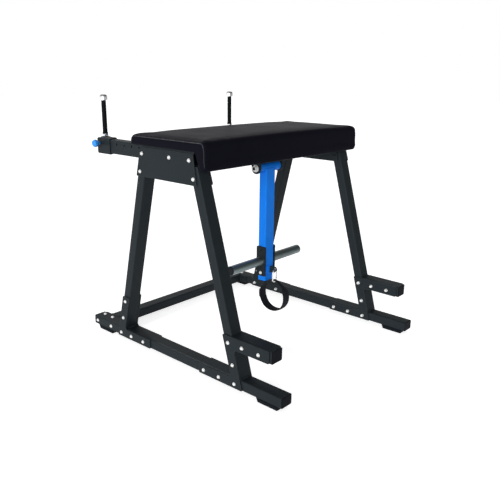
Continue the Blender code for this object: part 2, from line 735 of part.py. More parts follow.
def sweep_xz(name, pts, radius, y, paint, n=10):
    """Round wire along a path in the XZ plane at depth y."""
    loops = []
    for i, (px, pz) in enumerate(pts):
        a = pts[max(i - 1, 0)]
        b = pts[min(i + 1, len(pts) - 1)]
        t = Vector((b[0] - a[0], 0, b[1] - a[1])).normalized()
        side_v = Vector((-t.z, 0, t.x))
        up = Vector((0, 1, 0))
        ring = []
        for k in range(n):
            w = 2 * math.pi * k / n
            ring.append(Vector((px, y, pz)) + side_v * (radius * math.cos(w)) + up * (radius * math.sin(w)))
        loops.append(ring)
    return loft(name, loops, paint, False, True)


hook = sweep_xz("snap_hook", wire_path(), HOOK_WIRE, eye_y, CHROME, 12)
adopt(hook_empty, [hook])
gate_empty = empty("snap_hook_gate_swing", (half_w, eye_y, GATE_LOW), hook_empty)
gate = lathe(
    "snap_hook_gate",
    (
        (0.0008, 0.0), (0.0022, 0.0006), (0.0034, 0.0025),
        (0.0034, GATE_HIGH - GATE_LOW - 0.002), (0.0022, GATE_HIGH - GATE_LOW),
    ),
    "Z", (half_w, eye_y, GATE_LOW), CHROME, 12,
)
adopt(gate_empty, [gate])

# Ankle strap: a loop of doubled webbing hung on the hook, narrow where it rides the wire
apex = wire_low + HOOK_WIRE + EPS + STRAP_T / 2 + 0.0022
tall = apex - STRAP_LOW
strap_empty = empty("strap_swing", (0, eye_y, wire_low), hook_empty)
GUIDE = (
    (0.0, 1.0), (0.020, 0.965), (0.052, 0.850), (0.074, 0.700), (0.0825, 0.520),
    (0.077, 0.310), (0.056, 0.120), (0.028, 0.025), (0.0, 0.0),
)
guide = list(GUIDE) + [(-y, z) for y, z in reversed(GUIDE[1:-1])]


def spline(points, per):
    """Closed smooth curve through the guide points."""
    out = []
    count = len(points)
    for i in range(count):
        p0, p1, p2, p3 = (Vector(points[(i + k - 1) % count]) for k in range(4))
        for j in range(per):
            t = j / per
            out.append(0.5 * (2 * p1 + (p2 - p0) * t + (2 * p0 - 5 * p1 + 4 * p2 - p3) * t * t
                              + (3 * p1 - p0 - 3 * p2 + p3) * t ** 3))
    return out


scaled = [(y, STRAP_LOW + z * tall) for y, z in guide]
path = spline(scaled, 3)
strap_loops = []
for i, p in enumerate(path):
    before = path[i - 1]
    after = path[(i + 1) % len(path)]
    t = (after - before).normalized()
    out_v = Vector((t.y, -t.x))
    high = max(0.0, min(1.0, (p.y - (apex - 0.060)) / 0.045))
    ease = high * high * (3 - 2 * high)
    half = STRAP_W / 2 * (1 - ease) + 0.0085 * ease
    thick = STRAP_T / 2
    ring = []
    for x, d in ((-half, -0.3), (-half + 0.0012, -1), (half - 0.0012, -1), (half, -0.3),
                 (half, 0.3), (half - 0.0012, 1), (-half + 0.0012, 1), (-half, 0.3)):
        ring.append((x, eye_y + p.x + out_v.x * d * thick, p.y + out_v.y * d * thick))
    strap_loops.append(ring)
strap = loft("strap", strap_loops, WEB, True, True)
adopt(strap_empty, [strap])

# Handles: a carriage that slides on each forward arm, locked by a pull pin
for side, s in SIDES:
    origin = (s * arm_x, at(PIN_AT), arm_mid)
    slide = empty("carriage_" + side + "_slide", origin, machine)
    y0 = at(CARRIAGE_REAR_AT)
    y1 = y0 + CARRIAGE_LONG
    clear = 2 * EPS
    wide = ARM_W + clear
    high = ARM_H + clear
    outer = rounded_rect(wide + 2 * CARRIAGE_WALL, high + 2 * CARRIAGE_WALL, 0.007)
    inner = rounded_rect(wide, high, TUBE_R)
    slant = CARRIAGE_CUT / (wide + 2 * CARRIAGE_WALL)
    loops = []
    for shape, y, lean in ((outer, y0, slant), (outer, y1, 0), (inner, y1, 0), (inner, y0, slant)):
        if lean:
            y += CARRIAGE_CUT / 2
        loops.append([(s * arm_x + a, y - s * a * lean, arm_mid + b) for a, b in shape])
    carriage = loft("carriage_" + side, loops, FRAME, True, True)

    # Flat plate welded to its inner wall that carries the handle post ahead of the arm
    weld_x = HALF - ARM_W - clear / 2 - CARRIAGE_WALL / 2
    post_y = at(HANDLE_AT)
    outline = [(weld_x, y1 - 0.004), (weld_x, y0 + 0.047)]
    for k in range(9):
        a = math.radians(200 - 210 * k / 8)
        outline.append((HANDLE_X + 0.024 * math.cos(a), post_y + 0.024 * math.sin(a)))
    plate_low = ARM_PLATE_TOP - ARM_PLATE_T
    loops = [[(s * px, py, z) for px, py in outline] for z in (plate_low, ARM_PLATE_TOP)]
    fuse(carriage, loft("tool", loops, FRAME), "UNION")
    post = lathe(
        "tool",
        ((HANDLE_R, plate_low + 0.001), (HANDLE_R, GRIP_TOP + 0.010)),
        "Z", (s * HANDLE_X, post_y, 0), FRAME, 24,
    )
    fuse(carriage, post, "UNION")

    # Threaded boss for the pull pin on the outer wall
    wall_out = HALF + clear / 2 + CARRIAGE_WALL
    boss = lathe(
        "tool",
        ((0.010, s * (wall_out - 0.001)), (0.010, s * (wall_out + 0.010))),
        "X", (0, at(PIN_AT), HOLE_Z), FRAME, 24,
    )
    fuse(carriage, boss, "UNION")
    drill(carriage, "X", (s * wall_out, at(PIN_AT), HOLE_Z), 0.0052, 0.045, 20)
    carriage.data.shade_smooth()
    carriage.data.set_sharp_from_angle(angle=math.radians(32))

    collar_profile = (
        (HANDLE_R + GAP, 0.0),
        (0.0150, 0.0),
        (0.0162, 0.003),
        (0.0162, COLLAR_H - 0.0035),
        (0.0145, COLLAR_H),
        (HANDLE_R + GAP, COLLAR_H),
    )
    post_at = (s * HANDLE_X, post_y, ARM_PLATE_TOP + GAP)
    collar = lathe("collar_" + side, collar_profile, "Z", post_at, CHROME, 20, True)
    grip_profile = [(HANDLE_R + GAP, 0.0), (0.0145, 0.0), (0.0145, 0.004)]
    ribs = 6
    grip_low = ARM_PLATE_TOP + COLLAR_H + 2 * GAP
    grip_long = GRIP_TOP - grip_low
    for i in range(ribs):
        z = 0.008 + (grip_long - 0.016) * i / ribs
        pitch = (grip_long - 0.016) / ribs
        grip_profile += [(GRIP_R, z), (GRIP_R, z + pitch * 0.75), (GRIP_R - 0.0006, z + pitch * 0.88)]
    grip_profile += [(GRIP_R, grip_long - 0.003), (GRIP_R - 0.001, grip_long), (HANDLE_R + GAP, grip_long)]
    grip = lathe("grip_" + side, grip_profile, "Z", (s * HANDLE_X, post_y, grip_low), RUBBER, 16, True)
    cap_profile = (
        (0.0130, 0.0), (0.0195, 0.0), (0.0210, 0.003), (0.0210, 0.020), (0.0185, 0.027), (0.010, 0.030),
    )
    cap_at = (s * HANDLE_X, post_y, GRIP_TOP + GAP)
    cap = lathe("handle_cap_" + side, cap_profile, "Z", cap_at, CHROME, 20)
    pocket = lathe("tool", ((HANDLE_R + GAP, -0.001), (HANDLE_R + GAP, 0.0105)), "Z", cap_at, PLASTIC, 24)
    fuse(cap, pocket, "DIFFERENCE")
    cap.data.shade_smooth()
    cap.data.set_sharp_from_angle(angle=math.radians(32))
    adopt(slide, [carriage, collar, grip, cap])

    # Pull pin: its tip rests just outside the arm so that the carriage is free
    tip = HALF + EPS
    pin_empty = empty("pull_pin_" + side + "_slide", (s * tip, at(PIN_AT), HOLE_Z), slide)
    pin_profile = (
        (0.0040, s * tip),
        (0.0048, s * (tip + 0.001)),
        (0.0048, s * (wall_out + 0.0165)),
        (0.0095, s * (wall_out + 0.0165)),
        (0.0095, s * (wall_out + 0.025)),
        (0.0160, s * (wall_out + 0.029)),
        (0.0170, s * (wall_out + 0.032)),
        (0.0170, s * (wall_out + 0.044)),
        (0.0150, s * (wall_out + 0.0475)),
        (0.0060, s * (wall_out + 0.0485)),
    )
    pin = lathe("pull_pin_" + side, pin_profile, "X", (0, at(PIN_AT), HOLE_Z), BLUE, 20)
    adopt(pin_empty, [pin])
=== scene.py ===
"""Reverse hyperextension machine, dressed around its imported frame.

Two bolted steel side frames carry a wide upholstered pad; a blue pendulum with two
weight sleeves, a snap hook and an ankle strap swings under it, and two handles slide
on the forward arms.  X runs across the machine, +Y to the handle end, Z up, metres.
"""
import math

import bmesh
import bpy
from mathutils import Matrix, Vector


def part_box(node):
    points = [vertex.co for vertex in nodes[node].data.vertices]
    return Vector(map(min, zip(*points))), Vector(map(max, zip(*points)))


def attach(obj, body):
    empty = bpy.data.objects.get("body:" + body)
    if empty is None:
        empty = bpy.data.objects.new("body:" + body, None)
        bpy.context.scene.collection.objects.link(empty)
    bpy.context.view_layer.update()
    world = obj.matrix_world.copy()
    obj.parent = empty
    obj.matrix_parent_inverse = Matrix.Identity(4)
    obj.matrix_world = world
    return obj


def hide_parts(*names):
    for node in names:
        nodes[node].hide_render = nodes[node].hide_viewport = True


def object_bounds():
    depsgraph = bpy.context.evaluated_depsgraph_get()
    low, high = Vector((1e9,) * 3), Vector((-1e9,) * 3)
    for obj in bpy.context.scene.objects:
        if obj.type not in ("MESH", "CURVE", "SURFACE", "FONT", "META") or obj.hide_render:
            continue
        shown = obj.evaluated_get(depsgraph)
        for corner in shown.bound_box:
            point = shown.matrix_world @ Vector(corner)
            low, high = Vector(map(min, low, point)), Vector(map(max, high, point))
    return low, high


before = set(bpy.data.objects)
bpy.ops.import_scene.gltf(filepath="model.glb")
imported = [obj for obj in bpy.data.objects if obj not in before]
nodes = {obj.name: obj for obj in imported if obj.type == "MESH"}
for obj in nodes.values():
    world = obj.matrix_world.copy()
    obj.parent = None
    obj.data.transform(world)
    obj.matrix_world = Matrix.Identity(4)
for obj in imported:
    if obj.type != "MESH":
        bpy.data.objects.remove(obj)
cad_low, cad_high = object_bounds()

# Studio
# A camera a little above the pad's height, a pale floor, a white surround that fades
# towards the right front and overhead, and one broad soft light from the left
CAMERA_AT = (-2.35874, -2.06066, 1.39534)
CAMERA_YAW = math.radians(48.5268)
CAMERA_PITCH = math.radians(16.5139)
CAMERA_ROLL = math.radians(-0.6115)
CAMERA_LENS = 43.12
CAMERA_SENSOR = 36
CAMERA_REACH = 200
WHITE = (1.0, 1.0, 1.0, 1.0)

ahead = Vector((
    math.sin(CAMERA_YAW) * math.cos(CAMERA_PITCH),
    math.cos(CAMERA_YAW) * math.cos(CAMERA_PITCH),
    -math.sin(CAMERA_PITCH),
))
level = Vector((math.cos(CAMERA_YAW), -math.sin(CAMERA_YAW), 0))
below = ahead.cross(level)
across = level * math.cos(CAMERA_ROLL) + below * math.sin(CAMERA_ROLL)
upward = -ahead.cross(across)
camera_data = bpy.data.cameras.new("camera")
camera_data.lens = CAMERA_LENS
camera_data.sensor_width = CAMERA_SENSOR
camera_data.clip_end = CAMERA_REACH
camera = bpy.data.objects.new("camera", camera_data)
bpy.context.scene.collection.objects.link(camera)
pose = Matrix((across, upward, -ahead)).transposed().to_4x4()
pose.translation = CAMERA_AT
camera.matrix_world = pose
bpy.context.scene.camera = camera
bpy.context.scene.view_settings.view_transform = "Standard"


def add_node(tree, kind, **values):
    """A shader node with its sockets or settings set by name."""
    node = tree.nodes.new("ShaderNode" + kind)
    for name, value in values.items():
        spoken = name.replace("_", " ")
        found = [s for s in node.inputs if s.name.lower() == spoken.lower()]
        if found:
            found[0].default_value = value
        else:
            setattr(node, name, value)
    return node


def reckon(tree, operation, one, two):
    """A Math node on two outputs, or on an output and a number."""
    node = add_node(tree, "Math", operation=operation)
    tree.links.new(one, node.inputs[0])
    if isinstance(two, float):
        node.inputs[1].default_value = two
    else:
        tree.links.new(two, node.inputs[1])
    return node.outputs[0]


def white_to_eye(tree):
    """1 for rays that see the surround straight, mirrored or through glass; and straight only."""
    rays = add_node(tree, "LightPath")
    straight = rays.outputs["Is Camera Ray"]
    mirrored = reckon(tree, "MAXIMUM", straight, rays.outputs["Is Glossy Ray"])
    return reckon(tree, "MAXIMUM", mirrored, rays.outputs["Is Transmission Ray"]), straight


LIT_SIDE = (-0.7071, 0.7071, 0.0)
SHADE = 0.26


def fall_off(tree, source, near, far):
    """1 over the backdrop and the left, falling to SHADE towards the right front."""
    away = add_node(tree, "VectorMath", operation="DOT_PRODUCT")
    away.inputs[1].default_value = LIT_SIDE
    fall = add_node(tree, "MapRange", interpolation_type="SMOOTHSTEP")
    fall.inputs["From Min"].default_value = far
    fall.inputs["From Max"].default_value = near
    fall.inputs["To Min"].default_value = SHADE
    tree.links.new(source, away.inputs[0])
    tree.links.new(away.outputs["Value"], fall.inputs["Value"])
    return fall.outputs[0]


CEILING_STARTS = 0.13
CEILING_FULL = 0.58
DIM_CEILING = 0.30


def under_ceiling(tree, source):
    """1 at the horizon and below, falling to DIM_CEILING overhead."""
    parts = add_node(tree, "SeparateXYZ")
    fall = add_node(tree, "MapRange", interpolation_type="SMOOTHSTEP")
    fall.inputs["From Min"].default_value = CEILING_STARTS
    fall.inputs["From Max"].default_value = CEILING_FULL
    fall.inputs["To Min"].default_value = 1.0
    fall.inputs["To Max"].default_value = DIM_CEILING
    tree.links.new(source, parts.inputs[0])
    tree.links.new(parts.outputs["Z"], fall.inputs["Value"])
    return fall.outputs[0]


WORLD_LIGHT = 0.82
WORLD_FADE = (-0.15, -0.85)
world = bpy.data.worlds.new("surround")
world.use_nodes = True
bpy.context.scene.world = world
tree = world.node_tree
tree.nodes.clear()
soft = add_node(tree, "Background", Color=WHITE)
white = add_node(tree, "Background", Color=WHITE)
mix = add_node(tree, "MixShader")
out = add_node(tree, "OutputWorld")
seen, straight = white_to_eye(tree)
direction = add_node(tree, "TexCoord").outputs["Generated"]
glow = reckon(tree, "MULTIPLY", fall_off(tree, direction, *WORLD_FADE), under_ceiling(tree, direction))
tree.links.new(reckon(tree, "MULTIPLY", glow, WORLD_LIGHT), soft.inputs["Strength"])
tree.links.new(reckon(tree, "MAXIMUM", glow, straight), white.inputs["Strength"])
tree.links.new(seen, mix.inputs[0])
tree.links.new(soft.outputs[0], mix.inputs[1])
tree.links.new(white.outputs[0], mix.inputs[2])
tree.links.new(mix.outputs[0], out.inputs[0])

FLOOR_WIDE = 60
FLOOR_Z = -0.0005
FLOOR_TINT = (0.80, 0.80, 0.805, 1)
FLOOR_LIFT = 0.76
FLOOR_FADE = (-0.8, -2.0)
bpy.ops.object.select_all(action="DESELECT")
bpy.ops.mesh.primitive_plane_add(size=FLOOR_WIDE, location=(0, 0, FLOOR_Z))
floor = bpy.context.object
floor.name = "floor"
paint = bpy.data.materials.new("studio_floor")
paint.use_nodes = True
tree = paint.node_tree
tree.nodes.clear()
matt = add_node(tree, "BsdfDiffuse", Color=FLOOR_TINT)
lift = add_node(tree, "Emission", Color=WHITE)
both = add_node(tree, "AddShader")
out = add_node(tree, "OutputMaterial")
seen, straight = white_to_eye(tree)
glow = fall_off(tree, add_node(tree, "TexCoord").outputs["Object"], *FLOOR_FADE)
shown = reckon(tree, "MULTIPLY", reckon(tree, "MAXIMUM", glow, straight), seen)
tree.links.new(reckon(tree, "MULTIPLY", shown, FLOOR_LIFT), lift.inputs["Strength"])
tree.links.new(matt.outputs[0], both.inputs[0])
tree.links.new(lift.outputs[0], both.inputs[1])
tree.links.new(both.outputs[0], out.inputs[0])
floor.data.materials.append(paint)

# Each light: its name, its strength, its width in degrees and the way it shines
SUNS = (
    ("left_light", 2.55, 40, (0.90, 0.38, -0.17)),
    ("rim_light", 0.7, 9, (-0.25, -0.64, -0.73)),
)
for name, power, width, heading in SUNS:
    lamp = bpy.data.lights.new(name, "SUN")
    lamp.energy = power
    lamp.angle = math.radians(width)
    holder = bpy.data.objects.new(name, lamp)
    bpy.context.scene.collection.objects.link(holder)
    holder.rotation_mode = "QUATERNION"
    holder.rotation_quaternion = Vector(heading).to_track_quat("-Z", "Y")


# Side frames
# Rectangular steel tube with a 3 mm wall, bolted through 6 mm plates cut from sheet,
# all sprayed in one fine-textured near-black powder coat
def group(name, ins, outs):
    """An empty shader group with its named inputs (with defaults) and outputs."""
    made = bpy.data.node_groups.new(name, "ShaderNodeTree")
    for label, value in ins:
        socket = made.interface.new_socket(label, in_out="INPUT", socket_type="NodeSocketFloat")
        socket.default_value = value
    for label, kind in outs:
        made.interface.new_socket(label, in_out="OUTPUT", socket_type=kind)
    return made, made.nodes.new("NodeGroupInput"), made.nodes.new("NodeGroupOutput")


BLOTCH_ROUGH = 0.55


def blotches(tree, coords, scale, detail):
    """Noise at a scale of so many features to a metre, a number or an output."""
    noise = add_node(tree, "TexNoise", Detail=detail, Roughness=BLOTCH_ROUGH)
    tree.links.new(coords, noise.inputs["Vector"])
    if isinstance(scale, float):
        noise.inputs["Scale"].default_value = scale
    else:
        tree.links.new(scale, noise.inputs["Scale"])
    return noise.outputs[0]


# Edge wear and painted highlight: where two faces meet, a rounded normal parts from the flat one, and the
# mask lightens the colour there
FLAT_ENOUGH = 0.995
FULLY_WORN = 0.80
WEAR_PATCH = 0.03
wear_and_sheen, w_in, w_out = group(
    "edge_wear_and_sheen",
    [("Width", 0.0015), ("Amount", 1.0)],
    [("Mask", "NodeSocketFloat"), ("Normal", "NodeSocketVector")],
)
edge = add_node(wear_and_sheen, "Bevel", samples=6)
flat = add_node(wear_and_sheen, "NewGeometry")
dot = add_node(wear_and_sheen, "VectorMath", operation="DOT_PRODUCT")
ramp = add_node(wear_and_sheen, "MapRange")
ramp.inputs["From Min"].default_value = FLAT_ENOUGH
ramp.inputs["From Max"].default_value = FULLY_WORN
patch = blotches(wear_and_sheen, add_node(wear_and_sheen, "TexCoord").outputs["Object"], 1 / WEAR_PATCH, 3)
wear_and_sheen.links.new(w_in.outputs["Width"], edge.inputs["Radius"])
wear_and_sheen.links.new(edge.outputs[0], dot.inputs[0])
wear_and_sheen.links.new(flat.outputs["Normal"], dot.inputs[1])
wear_and_sheen.links.new(dot.outputs["Value"], ramp.inputs["Value"])
amount = add_node(wear_and_sheen, "Math", operation="MULTIPLY", use_clamp=True)
wear_and_sheen.links.new(reckon(wear_and_sheen, "MULTIPLY", ramp.outputs[0], patch), amount.inputs[0])
wear_and_sheen.links.new(w_in.outputs["Amount"], amount.inputs[1])
wear_and_sheen.links.new(amount.outputs[0], w_out.inputs["Mask"])
wear_and_sheen.links.new(edge.outputs[0], w_out.inputs["Normal"])

# Grain: fine bumps over broad, faint unevenness
grain, g_in, g_out = group(
    "grain",
    [("Fine", 900.0), ("Broad", 8.0)],
    [("Height", "NodeSocketFloat"), ("Cloud", "NodeSocketFloat")],
)
coords = add_node(grain, "TexCoord").outputs["Object"]
grain.links.new(blotches(grain, coords, g_in.outputs["Fine"], 2), g_out.inputs["Height"])
grain.links.new(blotches(grain, coords, g_in.outputs["Broad"], 4), g_out.inputs["Cloud"])

MIX_FIRST = 6
MIX_SECOND = 7
MIX_RESULT = 2


def blend(tree, mask, first, second):
    """Two colours, each an output or fixed values, mixed by a mask."""
    node = add_node(tree, "Mix", data_type="RGBA")
    tree.links.new(mask, node.inputs[0])
    for place, colour in ((MIX_FIRST, first), (MIX_SECOND, second)):
        if isinstance(colour, tuple):
            node.inputs[place].default_value = (*colour, 1)
        else:
            tree.links.new(colour, node.inputs[place])
    return node.outputs[MIX_RESULT]


CLOUD_SHARE = 0.14
GLOSS_SWING = 0.07
GLAZE_ROUGH = 0.22


def coat(name, colour, worn_and_lit, rough, shine, bump, fine=900.0, edge_width=0.0015,
         edge_amount=1.0, metal=0.0, glaze=0.0):
    """A sprayed, moulded or plated finish: clouded colour, grain in the bump, and edges lightened for wear
    and as a painted highlight.
    """
    mat = bpy.data.materials.new(name)
    mat.use_nodes = True
    tree = mat.node_tree
    skin = tree.nodes["Principled BSDF"]
    skin.inputs["Specular IOR Level"].default_value = shine
    skin.inputs["Metallic"].default_value = metal
    skin.inputs["Coat Weight"].default_value = glaze
    skin.inputs["Coat Roughness"].default_value = GLAZE_ROUGH
    worn_and_lit_edge = add_node(tree, "Group", node_tree=wear_and_sheen)
    worn_and_lit_edge.inputs["Width"].default_value = edge_width
    worn_and_lit_edge.inputs["Amount"].default_value = edge_amount
    texture = add_node(tree, "Group", node_tree=grain)
    texture.inputs["Fine"].default_value = fine
    darker = tuple(c * (1 - CLOUD_SHARE) for c in colour)
    lighter = tuple(c * (1 + CLOUD_SHARE) for c in colour)
    clouded = blend(tree, texture.outputs["Cloud"], darker, lighter)
    rubbed_and_lit = blend(tree, worn_and_lit_edge.outputs["Mask"], clouded, worn_and_lit)
    tree.links.new(rubbed_and_lit, skin.inputs["Base Color"])
    gloss = add_node(tree, "MapRange")
    gloss.inputs["To Min"].default_value = rough - GLOSS_SWING
    gloss.inputs["To Max"].default_value = rough + GLOSS_SWING
    tree.links.new(texture.outputs["Cloud"], gloss.inputs["Value"])
    tree.links.new(gloss.outputs[0], skin.inputs["Roughness"])
    relief = add_node(tree, "Bump", Strength=1.0, Distance=bump)
    tree.links.new(texture.outputs["Height"], relief.inputs["Height"])
    tree.links.new(worn_and_lit_edge.outputs["Normal"], relief.inputs["Normal"])
    tree.links.new(relief.outputs[0], skin.inputs["Normal"])
    return mat


def dress(mat, *names):
    """Give CAD nodes a finished material in every slot."""
    for name in names:
        node = nodes[name]
        if not node.material_slots:
            node.data.materials.append(mat)
        for place in node.material_slots:
            place.material = mat


SIDES = (("left", -1), ("right", 1))
BLACK = (0.0142, 0.0203, 0.0242)
# The black coat's light edge colour, wide and strong here, is mostly a painted highlight along the tubes'
# rounded edges, with some wear
black_coat = coat("black_coat", BLACK, (0.095, 0.104, 0.110), rough=0.62, shine=0.12, bump=0.0001,
                  edge_width=0.003, edge_amount=1.3, glaze=0.06)
for side, s in SIDES:
    for part in ("base_tube", "rear_leg", "front_leg", "top_tube", "step_tube"):
        dress(black_coat, part + "_" + side)
    for part in ("gusset", "front_plate", "rear_plate"):
        dress(black_coat, part + "_outer_" + side, part + "_inner_" + side)
dress(black_coat, "cross_tube", "pad_beam")

# End caps and feet
# Moulded black plastic caps pressed into the tube ends, and rubber blocks screwed
# under the four corners of the base
cap_plastic = coat("cap_plastic", (0.0075, 0.009, 0.013), (0.02, 0.021, 0.022),
                   rough=0.50, shine=0.03, bump=0.00003, fine=600.0)
foot_rubber = coat("foot_rubber", (0.009, 0.012, 0.016), (0.022, 0.023, 0.024),
                   rough=0.72, shine=0.05, bump=0.00012, fine=500.0)
for side, s in SIDES:
    dress(cap_plastic, "base_cap_rear_" + side, "base_cap_front_" + side)
    dress(cap_plastic, "step_cap_" + side, "arm_cap_" + side)
    dress(foot_rubber, "foot_rear_" + side, "foot_front_" + side)

# Frame bolts
# Zinc-plated steel: a plain domed head on a washer outside each plate and a domed cap
# nut inside it; the nuts inside the gussets and on the two cross tubes' flanges are black
bright_zinc = coat("bright_zinc", (0.90, 0.90, 0.89), (0.95, 0.95, 0.95), rough=0.42, shine=0.5,
                   bump=0.00001, fine=700.0, edge_width=0.0006, edge_amount=0.5, metal=0.35)
WASHER_R = 0.0089
WASHER_T = 0.0014
HEAD_R = 0.0078
HEAD_H = 0.0055
HEAD_DOME = 0.0049
HEAD_ROOT = 0.0003
DIMPLE_IN = 0.0012
DIMPLE_DEEP = 0.0008
NUT_R = 0.0088
NUT_T = 0.0065
NUT_CHAMFER = 0.0009
NUT_DOME_R = 0.0070
NUT_DOME_UP = 0.002
NUT_DOME = 0.0039


def rod(sides, radius, length, at=(0, 0, 0), turn=(0, 0, 0)):
    """A bar with some number of sides, standing along its own Z, alone in the selection."""
    bpy.ops.object.select_all(action="DESELECT")
    bpy.ops.mesh.primitive_cylinder_add(
        vertices=sides, radius=radius, depth=length, location=at, rotation=turn)
    return bpy.context.object


def edit_on(obj):
    """Select one object alone and go into edit mode with nothing selected."""
    bpy.ops.object.select_all(action="DESELECT")
    obj.select_set(True)
    bpy.context.view_layer.objects.active = obj
    bpy.ops.object.mode_set(mode="EDIT")
    bpy.ops.mesh.select_all(action="DESELECT")


def edit_off():
    """Go back to object mode."""
    bpy.ops.object.mode_set(mode="OBJECT")


def pick_faces(obj, test):
    """Select the faces whose centre and normal pass a test, in edit mode."""
    bpy.ops.mesh.select_mode(type="FACE")
    mesh = bmesh.from_edit_mesh(obj.data)
    for face in mesh.faces:
        face.select_set(bool(test(face.calc_center_median(), face.normal)))
    mesh.select_flush_mode()
    bmesh.update_edit_mesh(obj.data)


def pick_edges(obj, test):
    """Select the edges whose two ends pass a test, in edit mode."""
    bpy.ops.mesh.select_mode(type="EDGE")
    mesh = bmesh.from_edit_mesh(obj.data)
    for line in mesh.edges:
        line.select_set(bool(test(line.verts[0].co, line.verts[1].co)))
    bmesh.update_edit_mesh(obj.data)


END_FACE = 0.9
LEVEL_FACE = 0.999


def top_end(centre, normal):
    """True for the faces that close a bar's upper end."""
    return normal.z > END_FACE


def both_ends(centre, normal):
    """True for the faces that close either end of a bar."""
    return abs(normal.z) > END_FACE


def round_off(obj, test, size, segments):
    """Bevel the edges of the faces that pass a test."""
    edit_on(obj)
    pick_faces(obj, test)
    bpy.ops.mesh.bevel(offset=size, segments=segments, affect="EDGES")
    edit_off()


def alone(obj):
    """Make an object the active one and the only one selected."""
    bpy.ops.object.select_all(action="DESELECT")
    obj.select_set(True)
    bpy.context.view_layer.objects.active = obj


def settle(obj, name, mat, smooth=35):
    """Apply the place, name it, paint it and smooth it up to an angle."""
    alone(obj)
    bpy.ops.object.transform_apply(location=True, rotation=True, scale=True)
    obj.name = name
    obj.data.name = name
    obj.data.materials.clear()
    obj.data.materials.append(mat)
    bpy.ops.object.shade_smooth_by_angle(angle=math.radians(smooth))


def made_one(pieces):
    """Join several objects into the first of them."""
    alone(pieces[0])
    for piece in pieces[1:]:
        piece.select_set(True)
    if len(pieces) > 1:
        bpy.ops.object.join()
    return pieces[0]


def strew(master, places, name, mat, body):
    """Copy a piece to each place, join the copies as one piece, paint it and let it ride."""
    copies = []
    for place in places:
        one = master.copy()
        one.data = master.data.copy()
        one.matrix_world = place
        bpy.context.scene.collection.objects.link(one)
        copies.append(one)
    whole = made_one(copies)
    bpy.ops.object.transform_apply(location=True, rotation=True, scale=True)
    whole.name = name
    whole.data.name = name
    whole.data.materials.clear()
    whole.data.materials.append(mat)
    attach(whole, body)


# The head stands along +Z: a washer, then a dome with a shallow dimple
head = rod(32, WASHER_R, WASHER_T, (0, 0, WASHER_T / 2))
edit_on(head)
pick_faces(head, top_end)
bpy.ops.mesh.inset(thickness=WASHER_R - HEAD_R - HEAD_ROOT)
bpy.ops.mesh.inset(thickness=HEAD_ROOT)
bpy.ops.mesh.extrude_region_move(TRANSFORM_OT_translate={"value": (0, 0, HEAD_H)})
pick_edges(head, lambda a, b: min(a.z, b.z) > HEAD_H)
bpy.ops.mesh.bevel(offset=HEAD_DOME, segments=7, affect="EDGES")
pick_faces(head, lambda centre, normal: normal.z > LEVEL_FACE and centre.z > HEAD_H)
bpy.ops.mesh.inset(thickness=DIMPLE_IN)
bpy.ops.mesh.extrude_region_move(TRANSFORM_OT_translate={"value": (0, 0, -DIMPLE_DEEP)})
edit_off()
settle(head, "bolt_head", bright_zinc)

# The cap nut: a hexagon with chamfered corners on a washer, and a dome that closes it
nut = rod(6, NUT_R, NUT_T, (0, 0, WASHER_T + NUT_T / 2))
round_off(nut, top_end, NUT_CHAMFER, 2)
washer = rod(32, WASHER_R, WASHER_T, (0, 0, WASHER_T / 2))
round_off(washer, both_ends, HEAD_ROOT, 1)
dome = rod(28, NUT_DOME_R, HEAD_H, (0, 0, WASHER_T + NUT_T + NUT_DOME_UP))
round_off(dome, top_end, NUT_DOME, 6)
settle(made_one([nut, washer, dome]), "bolt_nut", bright_zinc)

# A leg: its rear face from the rear end, at the height of the base tube's top; its depth
# from there; and how far it leans towards +Y for each metre up
REAR = cad_low.y
BASE_TOP = 0.072
REAR_LEG = (0.237, 0.05196, 0.2824)
FRONT_LEG = (1.067, 0.05146, -0.2436)

# Holes through the legs: the leg, the height, and the share of the leg's depth
GUSSET_HOLES = (
    (FRONT_LEG, 1.026, 0.60),
    (REAR_LEG, 1.026, 0.70),
    (FRONT_LEG, 0.940, 0.55),
    (REAR_LEG, 0.946, 0.65),
)
FRONT_HOLES = ((FRONT_LEG, 0.233, 0.50), (FRONT_LEG, 0.135, 0.50), (FRONT_LEG, 0.045, 0.55))
REAR_HOLES = ((REAR_LEG, 0.236, 0.50), (REAR_LEG, 0.135, 0.50))

# Holes beside the legs: distances from the rear end, and the height of their row
GUSSET_MIDDLE = 0.673
GUSSET_ROW = 1.026
STEP_BOLTS = (0.129, 0.225)
STEP_ROW = 0.236
BASE_BOLTS = (0.270, 0.368, 0.467, 0.9186, 1.0175)
BASE_ROW = 0.045

# Flanges of the cross tube and the pad's beam, and the two bolts down through each corner
PLATE = 0.006
BEAM_Y = REAR + 0.588
BEAM_BOLT_OUT = 0.048
BEAM_BOLT_Z = 0.997
BEAM_FLANGE_HALF = 0.060
BEAM_FLANGE_LOW = 0.984
CROSS_Y = REAR + 1.265
CROSS_BOLT_OUT = 0.0615
CROSS_BOLT_Z = 0.047
CORNER_BOLTS = (1.249, 1.317)
CORNER_X = 0.537


def leg_y(leg, z, share):
    """Y at a height on a leg, at a share of its depth from its rear face."""
    foot, depth, lean = leg
    return REAR + foot + share * depth + lean * (z - BASE_TOP)


def on_legs(holes):
    """Y and Z of holes that are given by their leg."""
    return [(leg_y(leg, z, share), z) for leg, z, share in holes]


def side_x(name, s, pick):
    """X of a node's outer face, picked by max, or of its inner face, by min."""
    low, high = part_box(name)
    return s * pick(abs(low.x), abs(high.x))


def facing(x, y, z, s):
    """A place turned to look along +X or -X."""
    return Matrix.Translation((x, y, z)) @ Matrix.Rotation(s * math.pi / 2, 4, "Y")


